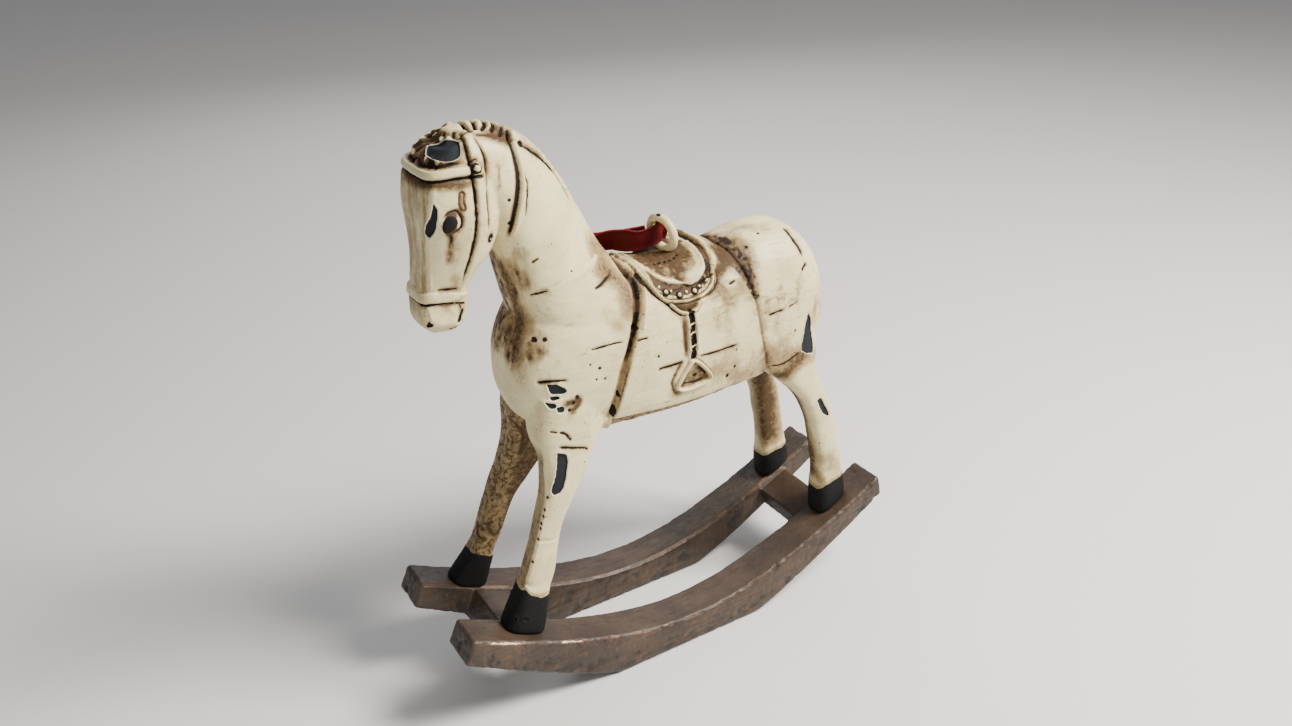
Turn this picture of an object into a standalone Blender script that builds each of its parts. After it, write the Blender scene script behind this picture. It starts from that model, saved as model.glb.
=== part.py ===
# Rocking horse ornament: a cast and painted toy horse on two rockers, hung by a ribbon through a wire eye.
# The horse faces -X, its left side faces -Y, +Z is up and the rockers stand on z = 0.
# Sizes and places below are in millimetres; meshes are made in metres.

import math

import bmesh
import bpy
import numpy as np
from mathutils import Vector

MM = 0.001
GAP = 0.3  # left between two pieces that touch

# The horse's heights. The tables of its forms are drawn at DRAWN_HEIGHTS, and are fitted to these three.
LEG_HEIGHT = 64.0  # ground to belly
BODY_DEPTH = 38.0  # belly to back
HEAD_RISE = 40.6  # back to poll
DRAWN_HEIGHTS = (0.0, 64.0, 102.0, 142.6)
ABOVE_POLL = 10.0  # the ears and the crest stand no further than this above the poll

# Rockers, each described from its own middle
ROCKER_WIDTH = 11.0
ROCKER_SPACE = 16.0  # clear distance between the two
ROCKER_HALF_TOP = 61.3  # middle to the end of the top edge
ROCKER_FRONT_RAKE = 3.0  # how far the lower corner of each end reaches past the upper one
ROCKER_REAR_RAKE = 1.2
ROCKER_MID_HEIGHT = 8.3
ROCKER_END_THICKNESS = 6.9
ROCKER_SWEEP = 26.6  # the top is a hyperbola: a soft bend in the middle, straighter arms
ROCKER_RISE = 0.624
ROCKER_FOOT_FRONT = 24.0  # the underside is flat between these two
ROCKER_FOOT_REAR = 20.0
ROCKER_ARM_BOW = 1.15
ROCKER_STAGGER = 2.3  # the far rocker sits this far forward of the near one
ROCKER_EDGE = 0.7

# Crossbars between the rockers, one under each pair of hooves
BAR_LENGTH = 10.0
BAR_THICKNESS = 8.0
BAR_DROP = 0.8  # below the tops of the rockers
BAR_FRONT_X = -45.5
BAR_REAR_X = 48.0
BAR_BITE = 2.0  # how far each end runs into its rocker

# Wire eye that stands in the saddle and carries the ribbon
EYE_WIRE = 2.1
EYE_RADIUS = 3.95  # to the middle of the wire
EYE_X = 7.05  # middle of the ring
EYE_RISE = 5.7  # middle of the ring above the back
EYE_LEAN = math.radians(7)  # forward
EYE_TURN = math.radians(12)  # the far side of the ring stands further forward
EYE_DEPTH = 4.25  # how far the straight wire runs down into the back

# Ribbon through the eye
RIBBON_WIDTH = 6.0
RIBBON_THICKNESS = 0.5


def heights():
    # The drawn heights of ground, belly, back, poll and the room above it, and the real ones
    real = np.cumsum((0.0, LEG_HEIGHT, BODY_DEPTH, HEAD_RISE, ABOVE_POLL))
    return (*DRAWN_HEIGHTS, DRAWN_HEIGHTS[-1] + ABOVE_POLL), real


def fitted(rows):
    # A form's rows with their drawn heights moved to the real ones
    drawn, real = heights()
    return [(r[0], np.interp(r[1], drawn, real), r[2], np.interp(r[3], drawn, real), *r[4:]) for r in rows]


def rocker_top(x):
    # Height of a rocker's top edge at a distance x from its middle
    return ROCKER_MID_HEIGHT + math.hypot(ROCKER_SWEEP, ROCKER_RISE * x) - ROCKER_SWEEP


def rocker_ends():
    # The lower corners of both ends, measured from the rocker's middle
    return -(ROCKER_HALF_TOP + ROCKER_FRONT_RAKE), ROCKER_HALF_TOP + ROCKER_REAR_RAKE


def rocker_shift(side):
    # Where a rocker's middle stands along X; side is -1 for the near one and 1 for the far one
    front, rear = rocker_ends()
    return -(front + rear) / 2 - side * ROCKER_STAGGER / 2


def remove_everything():
    for item in list(bpy.data.objects):
        bpy.data.objects.remove(item, do_unlink=True)


def paint(name, colour, roughness, metallic=0.0):
    material = bpy.data.materials.new(name)
    material.use_nodes = True
    shader = material.node_tree.nodes["Principled BSDF"]
    shader.inputs["Base Color"].default_value = (*colour, 1.0)
    shader.inputs["Roughness"].default_value = roughness
    shader.inputs["Metallic"].default_value = metallic
    return material


def add_object(name, mesh, material=None):
    item = bpy.data.objects.new(name, mesh)
    bpy.context.scene.collection.objects.link(item)
    if material:
        mesh.materials.append(material)
    return item


def mesh_from(name, points, faces):
    mesh = bpy.data.meshes.new(name)
    mesh.from_pydata([tuple(p * MM for p in point) for point in points], [], faces)
    mesh.update()
    return mesh


def evaluated(item):
    # A plain mesh of what the object's modifiers make
    graph = bpy.context.evaluated_depsgraph_get()
    graph.update()
    return bpy.data.meshes.new_from_object(item.evaluated_get(graph))


def smooth_rows(rows, steps):
    # Catmull-Rom through rows of numbers, with steps between two rows
    rows = np.array(rows, float)
    padded = np.vstack([2 * rows[0] - rows[1], rows, 2 * rows[-1] - rows[-2]])
    out = []
    for i in range(1, len(padded) - 2):
        a, b, c, d = padded[i - 1], padded[i], padded[i + 1], padded[i + 2]
        for k in range(steps):
            t = k / steps
            out.append(0.5 * (2 * b + (c - a) * t + (2 * a - 5 * b + 4 * c - d) * t * t
                              + (3 * b - a - 3 * c + d) * t ** 3))
    out.append(rows[-1])
    return np.array(out)


# A form is a list of sections across it. Each section runs from its front or lower edge to its rear or
# upper edge in the side view, and says how wide it is there:
# front x, front z, rear x, rear z, middle y, half width, squareness in front, squareness behind, taper
RING = 40


def section(row):
    fx, fz, rx, rz, y, half, square_front, square_rear, taper = row
    middle = np.array([(fx + rx) / 2, y, (fz + rz) / 2])
    arm = np.array([(rx - fx) / 2, 0.0, (rz - fz) / 2])
    points = []
    for i in range(RING):
        angle = 2 * math.pi * i / RING
        c, s = math.cos(angle), math.sin(angle)
        square = square_rear if c > 0 else square_front
        u = math.copysign(abs(c) ** (2 / square), c)
        v = math.copysign(abs(s) ** (2 / square), s)
        points.append(middle + arm * u + np.array([0.0, half * v * (1 + taper * u), 0.0]))
    return points


def form(rows, steps=4):
    rings = [section(row) for row in smooth_rows(rows, steps)]
    points = [p for ring in rings for p in ring]
    faces = []
    for r in range(len(rings) - 1):
        for i in range(RING):
            j = (i + 1) % RING
            faces.append((r * RING + i, r * RING + j, (r + 1) * RING + j, (r + 1) * RING + i))
    faces.append(tuple(range(RING - 1, -1, -1)))
    last = (len(rings) - 1) * RING
    faces.append(tuple(last + i for i in range(RING)))
    return points, faces


TORSO = [
    (-37.8, 79.0, -37.3, 89.0, 0, 5.4, 2.2, 2.2, 0),
    (-35.8, 73.5, -34.6, 97.0, 0, 10.0, 2.4, 2.2, 0),
    (-30.8, 69.2, -28.6, 103.0, 0, 13.0, 2.8, 2.2, 0),
    (-24.0, 66.6, -19.0, 104.0, 0, 14.6, 3.0, 2.3, 0),
    (-15.0, 64.8, -10.0, 104.4, 0, 14.8, 3.2, 2.3, 0),
    (-5.0, 63.8, -3.0, 102.6, 0, 15.0, 3.2, 2.4, 0),
    (5.0, 63.2, 5.0, 101.2, 0, 15.0, 3.2, 2.4, 0),
    (15.0, 63.6, 15.0, 101.4, 0, 14.8, 3.2, 2.4, 0),
    (24.0, 65.0, 24.0, 103.2, 0, 14.4, 3.0, 2.4, 0),
    (32.0, 66.0, 32.0, 104.6, 0, 14.2, 2.8, 2.4, 0),
    (39.0, 66.8, 40.2, 103.9, 0, 13.8, 2.8, 2.4, 0),
    (44.6, 68.8, 46.0, 98.6, 0, 12.6, 2.8, 2.4, 0),
    (48.6, 74.0, 48.6, 89.0, 0, 8.6, 2.4, 2.2, 0),
]

NECK = [
    (-33.0, 90.0, 0.0, 100.0, 0, 13.0, 2.2, 2.2, 0),
    (-33.6, 97.0, -6.0, 104.0, 0, 12.2, 2.2, 2.0, -0.1),
    (-34.6, 102.0, -9.2, 107.8, 0, 11.2, 2.2, 1.9, -0.15),
    (-35.6, 108.0, -12.4, 113.5, 0, 10.2, 2.3, 1.8, -0.2),
    (-36.8, 114.5, -15.8, 121.0, 0, 9.4, 2.3, 1.8, -0.22),
    (-38.6, 121.0, -19.4, 128.2, 0, 8.8, 2.3, 1.8, -0.22),
    (-41.0, 127.0, -24.4, 135.2, 0, 8.4, 2.3, 1.8, -0.22),
    (-43.5, 131.0, -31.0, 140.4, 0, 8.0, 2.3, 1.9, -0.2),
    (-47.0, 134.0, -38.0, 142.6, 0, 7.2, 2.3, 2.0, -0.15),
    (-49.5, 135.5, -44.5, 141.8, 0, 5.5, 2.3, 2.0, -0.1),
]

HEAD = [
    (-48.2, 139.4, -38.0, 141.4, 0, 6.6, 2.8, 2.2, 0),
    (-51.2, 136.2, -36.0, 136.0, 0, 8.8, 3.6, 2.3, 0),
    (-52.6, 131.5, -35.0, 129.0, 0, 9.8, 4.8, 2.4, 0.04),
    (-53.2, 126.0, -35.6, 121.6, 0, 9.8, 4.8, 2.5, 0.06),
    (-53.5, 120.0, -38.2, 116.0, 0, 8.6, 4.6, 2.5, 0.16),
    (-54.2, 114.0, -41.8, 111.8, 0, 6.9, 4.4, 2.4, 0.2),
    (-55.0, 109.0, -44.2, 107.6, 0, 5.9, 4.4, 2.6, 0.1),
    (-56.0, 104.6, -44.6, 103.6, 0, 5.8, 4.4, 3.0, 0.02),
    (-55.4, 101.4, -45.4, 100.8, 0, 5.2, 3.6, 3.0, 0),
    (-53.2, 99.2, -48.4, 99.0, 0, 3.8, 3.0, 3.0, 0),
]

NEAR_FORELEG = [
    (-34.0, 80.0, -15.0, 80.0, -8.0, 6.0, 3.0, 3.0, 0),
    (-35.6, 71.0, -17.4, 71.0, -8.8, 5.8, 3.0, 3.0, 0),
    (-34.4, 64.5, -21.6, 64.5, -10.3, 4.6, 3.6, 3.2, 0),
    (-35.2, 57.0, -25.8, 57.0, -11.2, 3.8, 3.8, 3.2, 0),
    (-37.8, 49.5, -30.7, 49.5, -11.6, 3.2, 3.8, 3.2, 0),
    (-39.6, 43.5, -32.9, 43.5, -11.7, 3.1, 3.6, 3.2, 0),
    (-42.8, 35.5, -34.9, 35.5, -11.8, 3.3, 3.4, 3.2, 0),
    (-45.0, 31.0, -36.8, 31.0, -11.8, 3.6, 3.4, 3.2, 0),
]

FAR_FORELEG = [
    (-34.0, 80.0, -15.0, 80.0, 8.0, 6.0, 3.0, 3.0, 0),
    (-34.4, 71.0, -19.0, 71.0, 8.8, 5.8, 3.0, 3.0, 0),
    (-34.2, 62.5, -21.4, 62.5, 10.5, 4.8, 3.6, 3.2, 0),
    (-36.2, 54.7, -24.4, 54.7, 11.2, 4.2, 3.8, 3.2, 0),
    (-39.2, 48.4, -29.2, 48.8, 11.6, 3.7, 3.8, 3.2, 0),
    (-42.0, 42.2, -34.2, 42.6, 11.7, 3.2, 3.6, 3.2, 0),
    (-45.4, 33.8, -38.4, 34.4, 11.8, 3.2, 3.4, 3.2, 0),
    (-48.2, 29.6, -41.2, 30.2, 11.8, 3.5, 3.4, 3.2, 0),
]

HIND_LEG = [
    (20.0, 82.0, 45.2, 82.0, 7.4, 6.6, 3.0, 3.0, 0),
    (27.0, 71.0, 45.8, 71.0, 7.9, 6.4, 3.0, 3.0, 0),
    (33.6, 64.5, 45.6, 64.5, 9.4, 5.2, 3.0, 3.0, 0),
    (39.4, 58.5, 47.6, 58.5, 10.6, 4.0, 3.4, 3.2, 0),
    (42.4, 52.0, 50.0, 52.0, 11.4, 3.3, 3.4, 3.2, 0),
    (44.0, 45.0, 51.8, 45.0, 11.7, 3.2, 3.4, 3.2, 0),
    (45.2, 38.0, 52.9, 38.0, 11.8, 3.2, 3.4, 3.2, 0),
    (45.7, 31.0, 53.8, 31.0, 11.8, 3.6, 3.4, 3.2, 0),
    (45.6, 27.6, 54.2, 28.6, 11.8, 3.8, 3.4, 3.2, 0),
]

HOOF_HALF_WIDTH = 4.0
NEAR_FORE_HOOF = (-49.3, -39.4)  # where the sole begins and ends on its rocker
FAR_FORE_HOOF = (-53.1, -44.4)
HIND_HOOF = (45.6, 54.8)
HIND_STAGGER = 1.7  # the far hind leg stands this far forward of the near one

TAIL = [
    (40.0, 96.0, 45.5, 97.5, 0, 3.0, 2.2, 2.2, 0),
    (44.5, 90.0, 50.6, 91.6, 0, 3.4, 2.2, 2.2, 0),
    (46.5, 82.0, 52.6, 83.0, 0, 3.8, 2.2, 2.2, 0),
    (46.5, 73.0, 52.2, 73.6, 0, 3.9, 2.2, 2.2, 0),
    (45.0, 64.0, 50.4, 64.4, 0, 3.4, 2.2, 2.2, 0),
    (45.0, 56.0, 47.6, 56.0, 0, 1.6, 2.2, 2.2, 0),
]


def with_hoof(rows, sole, side):
    # A leg's rows, ended by a hoof that flares down to its sole on the rocker
    front, rear = sole
    shift = rocker_shift(side)
    last = rows[-1]
    y, half = last[4], last[5]
    front_z = rocker_top(front - shift) + GAP
    rear_z = rocker_top(rear - shift) + GAP
    collar = (last[0] * 0.75 + front * 0.25, last[1] * 0.75 + front_z * 0.25,
              last[2] * 0.8 + rear * 0.2, last[3] * 0.75 + rear_z * 0.25, y, half + 0.25, 3.0, 3.0, 0)
    sole_row = (front, front_z, rear, rear_z, y, HOOF_HALF_WIDTH, 3.0, 3.0, 0)
    return rows + [collar, sole_row]


def hind_leg(side):
    shift = -HIND_STAGGER if side > 0 else 0.0
    rows = [(r[0] + shift, r[1], r[2] + shift, r[3], side * r[4], *r[5:]) for r in fitted(HIND_LEG)]
    return with_hoof(rows, (HIND_HOOF[0] + shift, HIND_HOOF[1] + shift), side)


EAR = [
    (-45.4, 138.6, -41.2, 139.4, 3.6, 1.5, 2.2, 2.2, 0),
    (-44.2, 140.2, -40.0, 140.8, 3.7, 1.6, 2.2, 2.2, 0),
    (-41.6, 141.4, -38.2, 141.6, 3.8, 1.3, 2.2, 2.2, 0),
    (-38.2, 142.0, -36.8, 141.5, 3.8, 0.6, 2.2, 2.2, 0),
]

MANE = [
    (-41.5, 139.0, -42.0, 142.0, 0, 2.0, 2.6, 2.6, 0),
    (-36.5, 138.5, -35.0, 142.2, 0, 3.2, 2.6, 2.6, 0),
    (-31.0, 135.0, -28.0, 138.7, 0, 3.8, 2.6, 2.6, 0),
    (-26.6, 129.6, -22.8, 133.2, 0, 3.6, 2.6, 2.6, 0),
    (-22.6, 123.4, -18.9, 126.6, 0, 3.0, 2.6, 2.6, 0),
    (-19.4, 117.6, -15.6, 119.8, 0, 1.8, 2.6, 2.6, 0),
]

# The seat of the saddle, one section after another along the back
SEAT = [
    (0.6, 97.0, 0.2, 101.6, 0, 4.0, 2.4, 2.4, 0),
    (3.0, 96.0, 3.0, 101.9, 0, 7.6, 2.4, 2.2, 0),
    (7.0, 94.0, 7.0, 102.3, 0, 10.0, 2.4, 2.2, 0),
    (11.0, 94.0, 11.5, 103.2, 0, 10.4, 2.4, 2.2, 0),
    (14.6, 95.0, 15.4, 103.9, 0, 9.0, 2.4, 2.2, 0),
    (17.6, 97.0, 18.6, 103.0, 0, 5.4, 2.4, 2.2, 0),
    (19.4, 98.5, 20.2, 101.6, 0, 2.4, 2.4, 2.2, 0),
]

# Lines carved on both sides, as x, distance from the middle, z
SHOULDER_GROOVE = [
    (-7.2, 0.0, 104.6), (-6.8, 2.7, 104.2), (-5.9, 8.5, 100.9), (-7.4, 12.1, 97.1),
    (-9.6, 14.0, 92.2), (-12.2, 14.7, 86.3), (-14.5, 14.7, 79.7), (-17.2, 13.3, 71.2),
]
HIP_LINE = [
    (20.4, 0.0, 102.3), (21.1, 5.3, 101.8), (22.7, 11.4, 97.2), (24.3, 14.1, 89.3),
    (26.0, 14.2, 79.4), (27.6, 13.3, 73.9), (29.2, 12.1, 69.0),
]
CLOTH_RIM = [
    (-4.2, 0.0, 103.2), (-4.0, 3.6, 102.6), (-3.3, 8.2, 100.6), (-0.8, 11.7, 96.9),
    (4.0, 12.6, 94.6), (9.0, 12.7, 94.2), (13.2, 11.9, 95.6), (15.6, 9.4, 98.8),
    (17.6, 4.0, 101.6), (19.4, 0.0, 102.4),
]
FLAP = [(-0.5, 12.2, 96.2), (2.4, 13.0, 93.6), (5.9, 13.8, 91.8), (8.4, 13.5, 92.4), (9.7, 12.9, 94.0)]
STIRRUP_STRAP = [(6.1, 13.8, 91.6), (6.0, 14.6, 88.0), (5.8, 15.0, 84.6), (5.5, 15.1, 81.6)]
STIRRUP_IRON = [
    (5.5, 15.1, 81.4), (2.2, 15.0, 77.4), (0.2, 14.8, 74.2), (1.0, 14.6, 72.8),
    (6.0, 14.5, 72.2), (10.6, 14.5, 73.2), (11.3, 14.8, 74.8), (8.6, 15.0, 78.2), (5.5, 15.1, 81.4),
]
BROWBAND = [(-41.0, 9.2, 135.0), (-45.9, 9.4, 135.1), (-49.8, 8.8, 135.0), (-51.8, 6.0, 134.8), (-52.2, 0.0, 134.6)]
CHEEK_STRAP = [
    (-40.4, 0.0, 142.8), (-40.4, 5.2, 141.2), (-40.6, 8.2, 137.6), (-41.0, 9.6, 131.0), (-41.4, 9.8, 125.4),
    (-42.2, 9.2, 120.4), (-43.4, 8.0, 116.4), (-44.6, 6.6, 112.4), (-45.6, 5.8, 108.6),
]
THROAT_STRAP = [
    (-30.2, 0.0, 140.6), (-30.0, 5.0, 136.6), (-30.4, 8.0, 131.4), (-31.4, 9.2, 126.6),
    (-33.0, 9.2, 121.6), (-35.2, 7.4, 117.2), (-37.0, 4.0, 114.4),
]
NOSEBAND = [
    (-55.2, 0.0, 108.2), (-55.0, 4.0, 108.3), (-53.6, 5.6, 108.4), (-49.6, 6.0, 107.8),
    (-46.0, 5.4, 106.8), (-44.4, 3.0, 106.2), (-44.0, 0.0, 106.0),
]
MOUTH = [(-46.6, 5.6, 104.4), (-48.0, 5.4, 101.6), (-49.4, 4.6, 99.4)]
ROSETTE = (-41.0, 9.2, 135.0)
EYE = (-48.4, 9.7, 125.3)
NOSTRIL = (-54.4, 5.2, 103.0)

# The ribbon's own way: behind the ring's far side, forward through the ring, over the withers, down the far
# shoulder, round, and back to the far side of the ring. Heights are counted from the middle of the ring, and
# each point has the way its face looks.
RIBBON_ROUTE = [
    ((8.0, 4.6, 0.1), (0.9, 0.5, 0.0)),
    ((8.5, 3.0, 0.1), (0.9, 0.3, 0.0)),
    ((8.1, 1.4, 0.1), (0.6, 0.8, 0.0)),
    ((6.8, 0.5, 0.1), (0.1, 1.0, 0.0)),
    ((4.4, 0.9, -0.5), (0.1, 1.0, 0.0)),
    ((1.2, 2.0, -0.9), (0.2, 1.0, 0.1)),
    ((-1.8, 4.0, -0.5), (0.2, 1.0, 0.2)),
    ((-5.0, 6.4, -0.6), (0.2, 0.9, 0.4)),
    ((-8.4, 9.0, -2.7), (0.2, 0.8, 0.6)),
    ((-11.2, 11.8, -6.1), (0.1, 0.8, 0.6)),
    ((-13.0, 14.8, -10.7), (0.0, 0.9, 0.4)),
    ((-13.8, 16.6, -16.7), (0.0, 1.0, 0.2)),
    ((-14.0, 17.2, -23.7), (0.0, 1.0, 0.0)),
    ((-14.0, 17.2, -31.7), (0.0, 1.0, 0.0)),
    ((-14.0, 17.2, -38.7), (0.0, 1.0, 0.1)),
    ((-14.0, 18.2, -42.5), (0.0, 0.7, 0.7)),
    ((-14.0, 20.2, -43.7), (0.0, 0.0, 1.0)),
    ((-14.0, 22.2, -42.3), (0.0, -0.7, 0.7)),
    ((-14.0, 23.0, -38.1), (0.0, -1.0, 0.1)),
    ((-14.0, 22.9, -30.7), (0.0, -1.0, 0.0)),
    ((-14.0, 22.3, -22.7), (0.0, -1.0, -0.1)),
    ((-13.6, 20.9, -15.7), (0.0, -1.0, -0.3)),
    ((-12.6, 18.4, -9.7), (-0.1, -0.9, -0.5)),
    ((-10.4, 14.9, -4.9), (-0.2, -0.8, -0.6)),
    ((-7.0, 11.9, -2.9), (-0.2, -0.9, -0.5)),
    ((-3.0, 10.0, -2.8), (-0.2, -0.9, -0.4)),
    ((1.0, 8.6, -2.8), (-0.2, -1.0, -0.4)),
    ((4.2, 7.8, -2.1), (-0.2, -1.0, -0.3)),
    ((6.8, 7.1, -1.3), (-0.2, -1.0, -0.1)),
]
RIBBON_STEPS = 2
EYE_STEPS = 24
EYE_SIDES = 10

GROOVE_DEPTH = 1.5
GROOVE_HALF_WIDTH = 1.2
PANEL_RAISE = 0.8  # the barrel stands this proud of the shoulder and the haunch
PANEL_FOOT = 66.0  # drawn height where the barrel's panel begins
TACK_TOP = 106.0  # drawn height that the panel and the saddle cloth stay under
CLOTH_RAISE = 0.5
STRAP_RAISE = 0.6
CORD_RAISE = 0.8

FORM_VOXEL = 0.5
HORSE_TRIANGLES = 7600


def distance_to(points, path):
    # Distance of each point to a line of straight pieces
    best = np.full(len(points), np.inf)
    for start, end in zip(path[:-1], path[1:]):
        a, run = np.array(start), np.subtract(end, start)
        along = np.clip((points - a) @ run / (run @ run), 0, 1)
        best = np.minimum(best, np.linalg.norm(points - a - along[:, None] * run, axis=1))
    return best


def ramp(value, low, high):
    # 0 below low, 1 above high, smooth between them
    t = np.clip((value - low) / (high - low), 0, 1)
    return t * t * (3 - 2 * t)


def ridge(points, path, half_width, height):
    # A strap or cord lying along a line: flat on top, steep at its edges
    return height * (1 - ramp(distance_to(points, path), half_width * 0.6, half_width * 1.15))


def line_x(path, z):
    # Where a line that runs down the side stands along X at each height
    rows = sorted((point[2], point[0]) for point in path)
    return np.interp(z, [r[0] for r in rows], [r[1] for r in rows])


def rim_z(x):
    # Height of the saddle cloth's lower edge along the back
    rows = [(point[0], point[2]) for point in CLOTH_RIM]
    return np.interp(x, [r[0] for r in rows], [r[1] for r in rows], left=np.inf, right=np.inf)


def carving(points):
    # How far each point of the skin moves out or in
    drawn, real = heights()
    x, z = points[:, 0], np.interp(points[:, 2], real, drawn)
    p = np.stack([x, np.abs(points[:, 1]), z], axis=1)
    lift = np.zeros(len(p))
    trunk = ramp(z, PANEL_FOOT, PANEL_FOOT + 2) * (z < TACK_TOP)
    panel = ramp(x - line_x(SHOULDER_GROOVE, z), 0, 0.5) * ramp(line_x(HIP_LINE, z) - x, 0, 0.5) * trunk
    lift += PANEL_RAISE * panel
    lift -= ridge(p, SHOULDER_GROOVE, GROOVE_HALF_WIDTH, GROOVE_DEPTH)
    cloth = ramp(z - rim_z(x), -0.2, 0.3) * (z < TACK_TOP)
    lift += CLOTH_RAISE * cloth
    lift += ridge(p, CLOTH_RIM, 0.7, CORD_RAISE)
    lift += ridge(p, FLAP, 0.6, STRAP_RAISE)
    lift += ridge(p, STIRRUP_STRAP, 1.0, CORD_RAISE)
    lift += ridge(p, STIRRUP_IRON, 0.7, CORD_RAISE)
    for strap, half in ((BROWBAND, 1.2), (CHEEK_STRAP, 1.3), (THROAT_STRAP, 1.3), (NOSEBAND, 1.3)):
        lift = np.maximum(lift, ridge(p, strap, half, STRAP_RAISE))
    lift += ridge(p, [ROSETTE, ROSETTE + np.array([0, 0, 0.1])], 1.2, CORD_RAISE)
    ball = np.linalg.norm(p - EYE, axis=1)
    lift += 0.5 * (1 - ramp(ball, 0.8, 1.5)) - 0.7 * ramp(ball, 1.2, 1.7) * (1 - ramp(ball, 1.9, 2.6))
    lift -= 0.9 * (1 - ramp(np.linalg.norm(p - NOSTRIL, axis=1), 0.5, 1.3))
    lift -= ridge(p, MOUTH, 0.6, 0.7)
    return lift


def carve(mesh):
    count = len(mesh.vertices)
    places, normals = np.empty(count * 3), np.empty(count * 3)
    mesh.vertices.foreach_get("co", places)
    mesh.vertices.foreach_get("normal", normals)
    places, normals = places.reshape(-1, 3) / MM, normals.reshape(-1, 3)
    places += normals * carving(places)[:, None]
    mesh.vertices.foreach_set("co", (places * MM).ravel())
    mesh.update()


def stand_on_rockers(mesh):
    # Lifts what reaches below the rockers' tops, so that each hoof stands a gap above its rocker
    for vertex in mesh.vertices:
        x, y, z = vertex.co / MM
        floor = rocker_top(x - rocker_shift(1 if y > 0 else -1)) + GAP
        if z < floor:
            vertex.co.z = floor * MM
    mesh.update()


def horse_block():
    # All the forms of the horse joined into one closed skin
    far_ear = [(*r[:4], -r[4], *r[5:]) for r in EAR]
    forms = [fitted(rows) for rows in (TORSO, NECK, HEAD, TAIL, SEAT, MANE, EAR, far_ear)]
    forms += [hind_leg(-1), hind_leg(1),
              with_hoof(fitted(NEAR_FORELEG), NEAR_FORE_HOOF, -1),
              with_hoof(fitted(FAR_FORELEG), FAR_FORE_HOOF, 1)]
    points, faces = [], []
    for rows in forms:
        more, sides = form(rows)
        start = len(points)
        points += more
        faces += [tuple(start + i for i in face) for face in sides]
    rough = add_object("rough_horse", mesh_from("rough_horse", points, faces))
    remesh = rough.modifiers.new("Remesh", "REMESH")
    remesh.mode = "VOXEL"
    remesh.voxel_size = FORM_VOXEL * MM
    soften = rough.modifiers.new("Smooth", "SMOOTH")
    soften.factor = 0.5
    soften.iterations = 6
    mesh = evaluated(rough)
    bpy.data.objects.remove(rough, do_unlink=True)
    carve(mesh)
    return mesh


def make_horse(cream):
    block = add_object("horse_block", horse_block())
    thin = block.modifiers.new("Decimate", "DECIMATE")
    thin.ratio = HORSE_TRIANGLES / (len(block.data.polygons) * 2)
    mesh = evaluated(block)
    bpy.data.objects.remove(block, do_unlink=True)
    stand_on_rockers(mesh)
    horse = add_object("horse", mesh, cream)
    socket = wire_eye("eye_socket", EYE_WIRE / 2 + GAP, GAP)
    socket.hide_render = True
    socket.display_type = "WIRE"
    hole = horse.modifiers.new("Eye socket", "BOOLEAN")
    hole.operation = "DIFFERENCE"
    hole.object = socket
    return horse


def eye_frame():
    # The middle of the ring, the direction across it and the direction up through it
    across = np.array([-math.sin(EYE_TURN), math.cos(EYE_TURN), 0.0])
    up = np.array([-math.sin(EYE_LEAN), 0.0, math.cos(EYE_LEAN)])
    return np.array([EYE_X, 0.0, LEG_HEIGHT + BODY_DEPTH + EYE_RISE]), across, up


def tube(centres, sides, radius, closed):
    # A round bar of even thickness along a flat line of points
    centres = np.array(centres)
    count = len(centres)
    flat = np.cross(centres[1] - centres[0], centres[2] - centres[0]) if closed else np.array([1.0, 0, 0])
    flat = flat / np.linalg.norm(flat)
    points, faces = [], []
    for i, centre in enumerate(centres):
        ahead = centres[(i + 1) % count] if closed or i + 1 < count else centre
        behind = centres[i - 1] if closed or i > 0 else centre
        along = (ahead - behind) / np.linalg.norm(ahead - behind)
        side = np.cross(along, flat)
        side /= np.linalg.norm(side)
        other = np.cross(along, side)
        for k in range(sides):
            angle = 2 * math.pi * k / sides
            points.append(centre + radius * (math.cos(angle) * side + math.sin(angle) * other))
    for i in range(count if closed else count - 1):
        j = (i + 1) % count
        for k in range(sides):
            m = (k + 1) % sides
            faces.append((i * sides + k, i * sides + m, j * sides + m, j * sides + k))
    if not closed:
        faces.append(tuple(range(sides)))
        faces.append(tuple(range(count * sides - 1, (count - 1) * sides - 1, -1)))
    return points, faces


def wire_eye(name, radius, deeper):
    # The ring and its shank as one body, of wire with the given radius, let in this much deeper
    shank_length = EYE_RISE - EYE_RADIUS + EYE_DEPTH + deeper
    middle, across, up = eye_frame()
    turns = [2 * math.pi * i / EYE_STEPS for i in range(EYE_STEPS)]
    ring = [middle + EYE_RADIUS * (math.cos(t) * across + math.sin(t) * up) for t in turns]
    foot = middle - up * EYE_RADIUS
    eye = add_object(name, mesh_from(name, *tube(ring, EYE_SIDES, radius, True)))
    turn_out(eye.data)
    line = [foot, foot - up * shank_length / 2, foot - up * shank_length]
    shank = add_object(f"{name}_shank", mesh_from(f"{name}_shank", *tube(line, EYE_SIDES, radius, False)))
    turn_out(shank.data)
    shank.hide_render = True
    shank.display_type = "WIRE"
    join = eye.modifiers.new("Shank", "BOOLEAN")
    join.operation = "UNION"
    join.object = shank
    return eye


def make_eye(cream):
    eye = wire_eye("hanging_eye", EYE_WIRE / 2, 0.0)
    eye.data.materials.append(cream)
    return eye


def ribbon_width(point):
    # Full width where it is free, and squeezed where it passes through the ring
    hole = 2 * EYE_RADIUS - EYE_WIRE
    squeezed = math.sqrt((hole - 3.5 * GAP) ** 2 - RIBBON_THICKNESS ** 2)
    away = math.dist(point, eye_frame()[0])
    share = min(max((away - EYE_RADIUS - EYE_WIRE / 2) / EYE_RADIUS, 0), 1)
    return squeezed + (RIBBON_WIDTH - squeezed) * share


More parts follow.
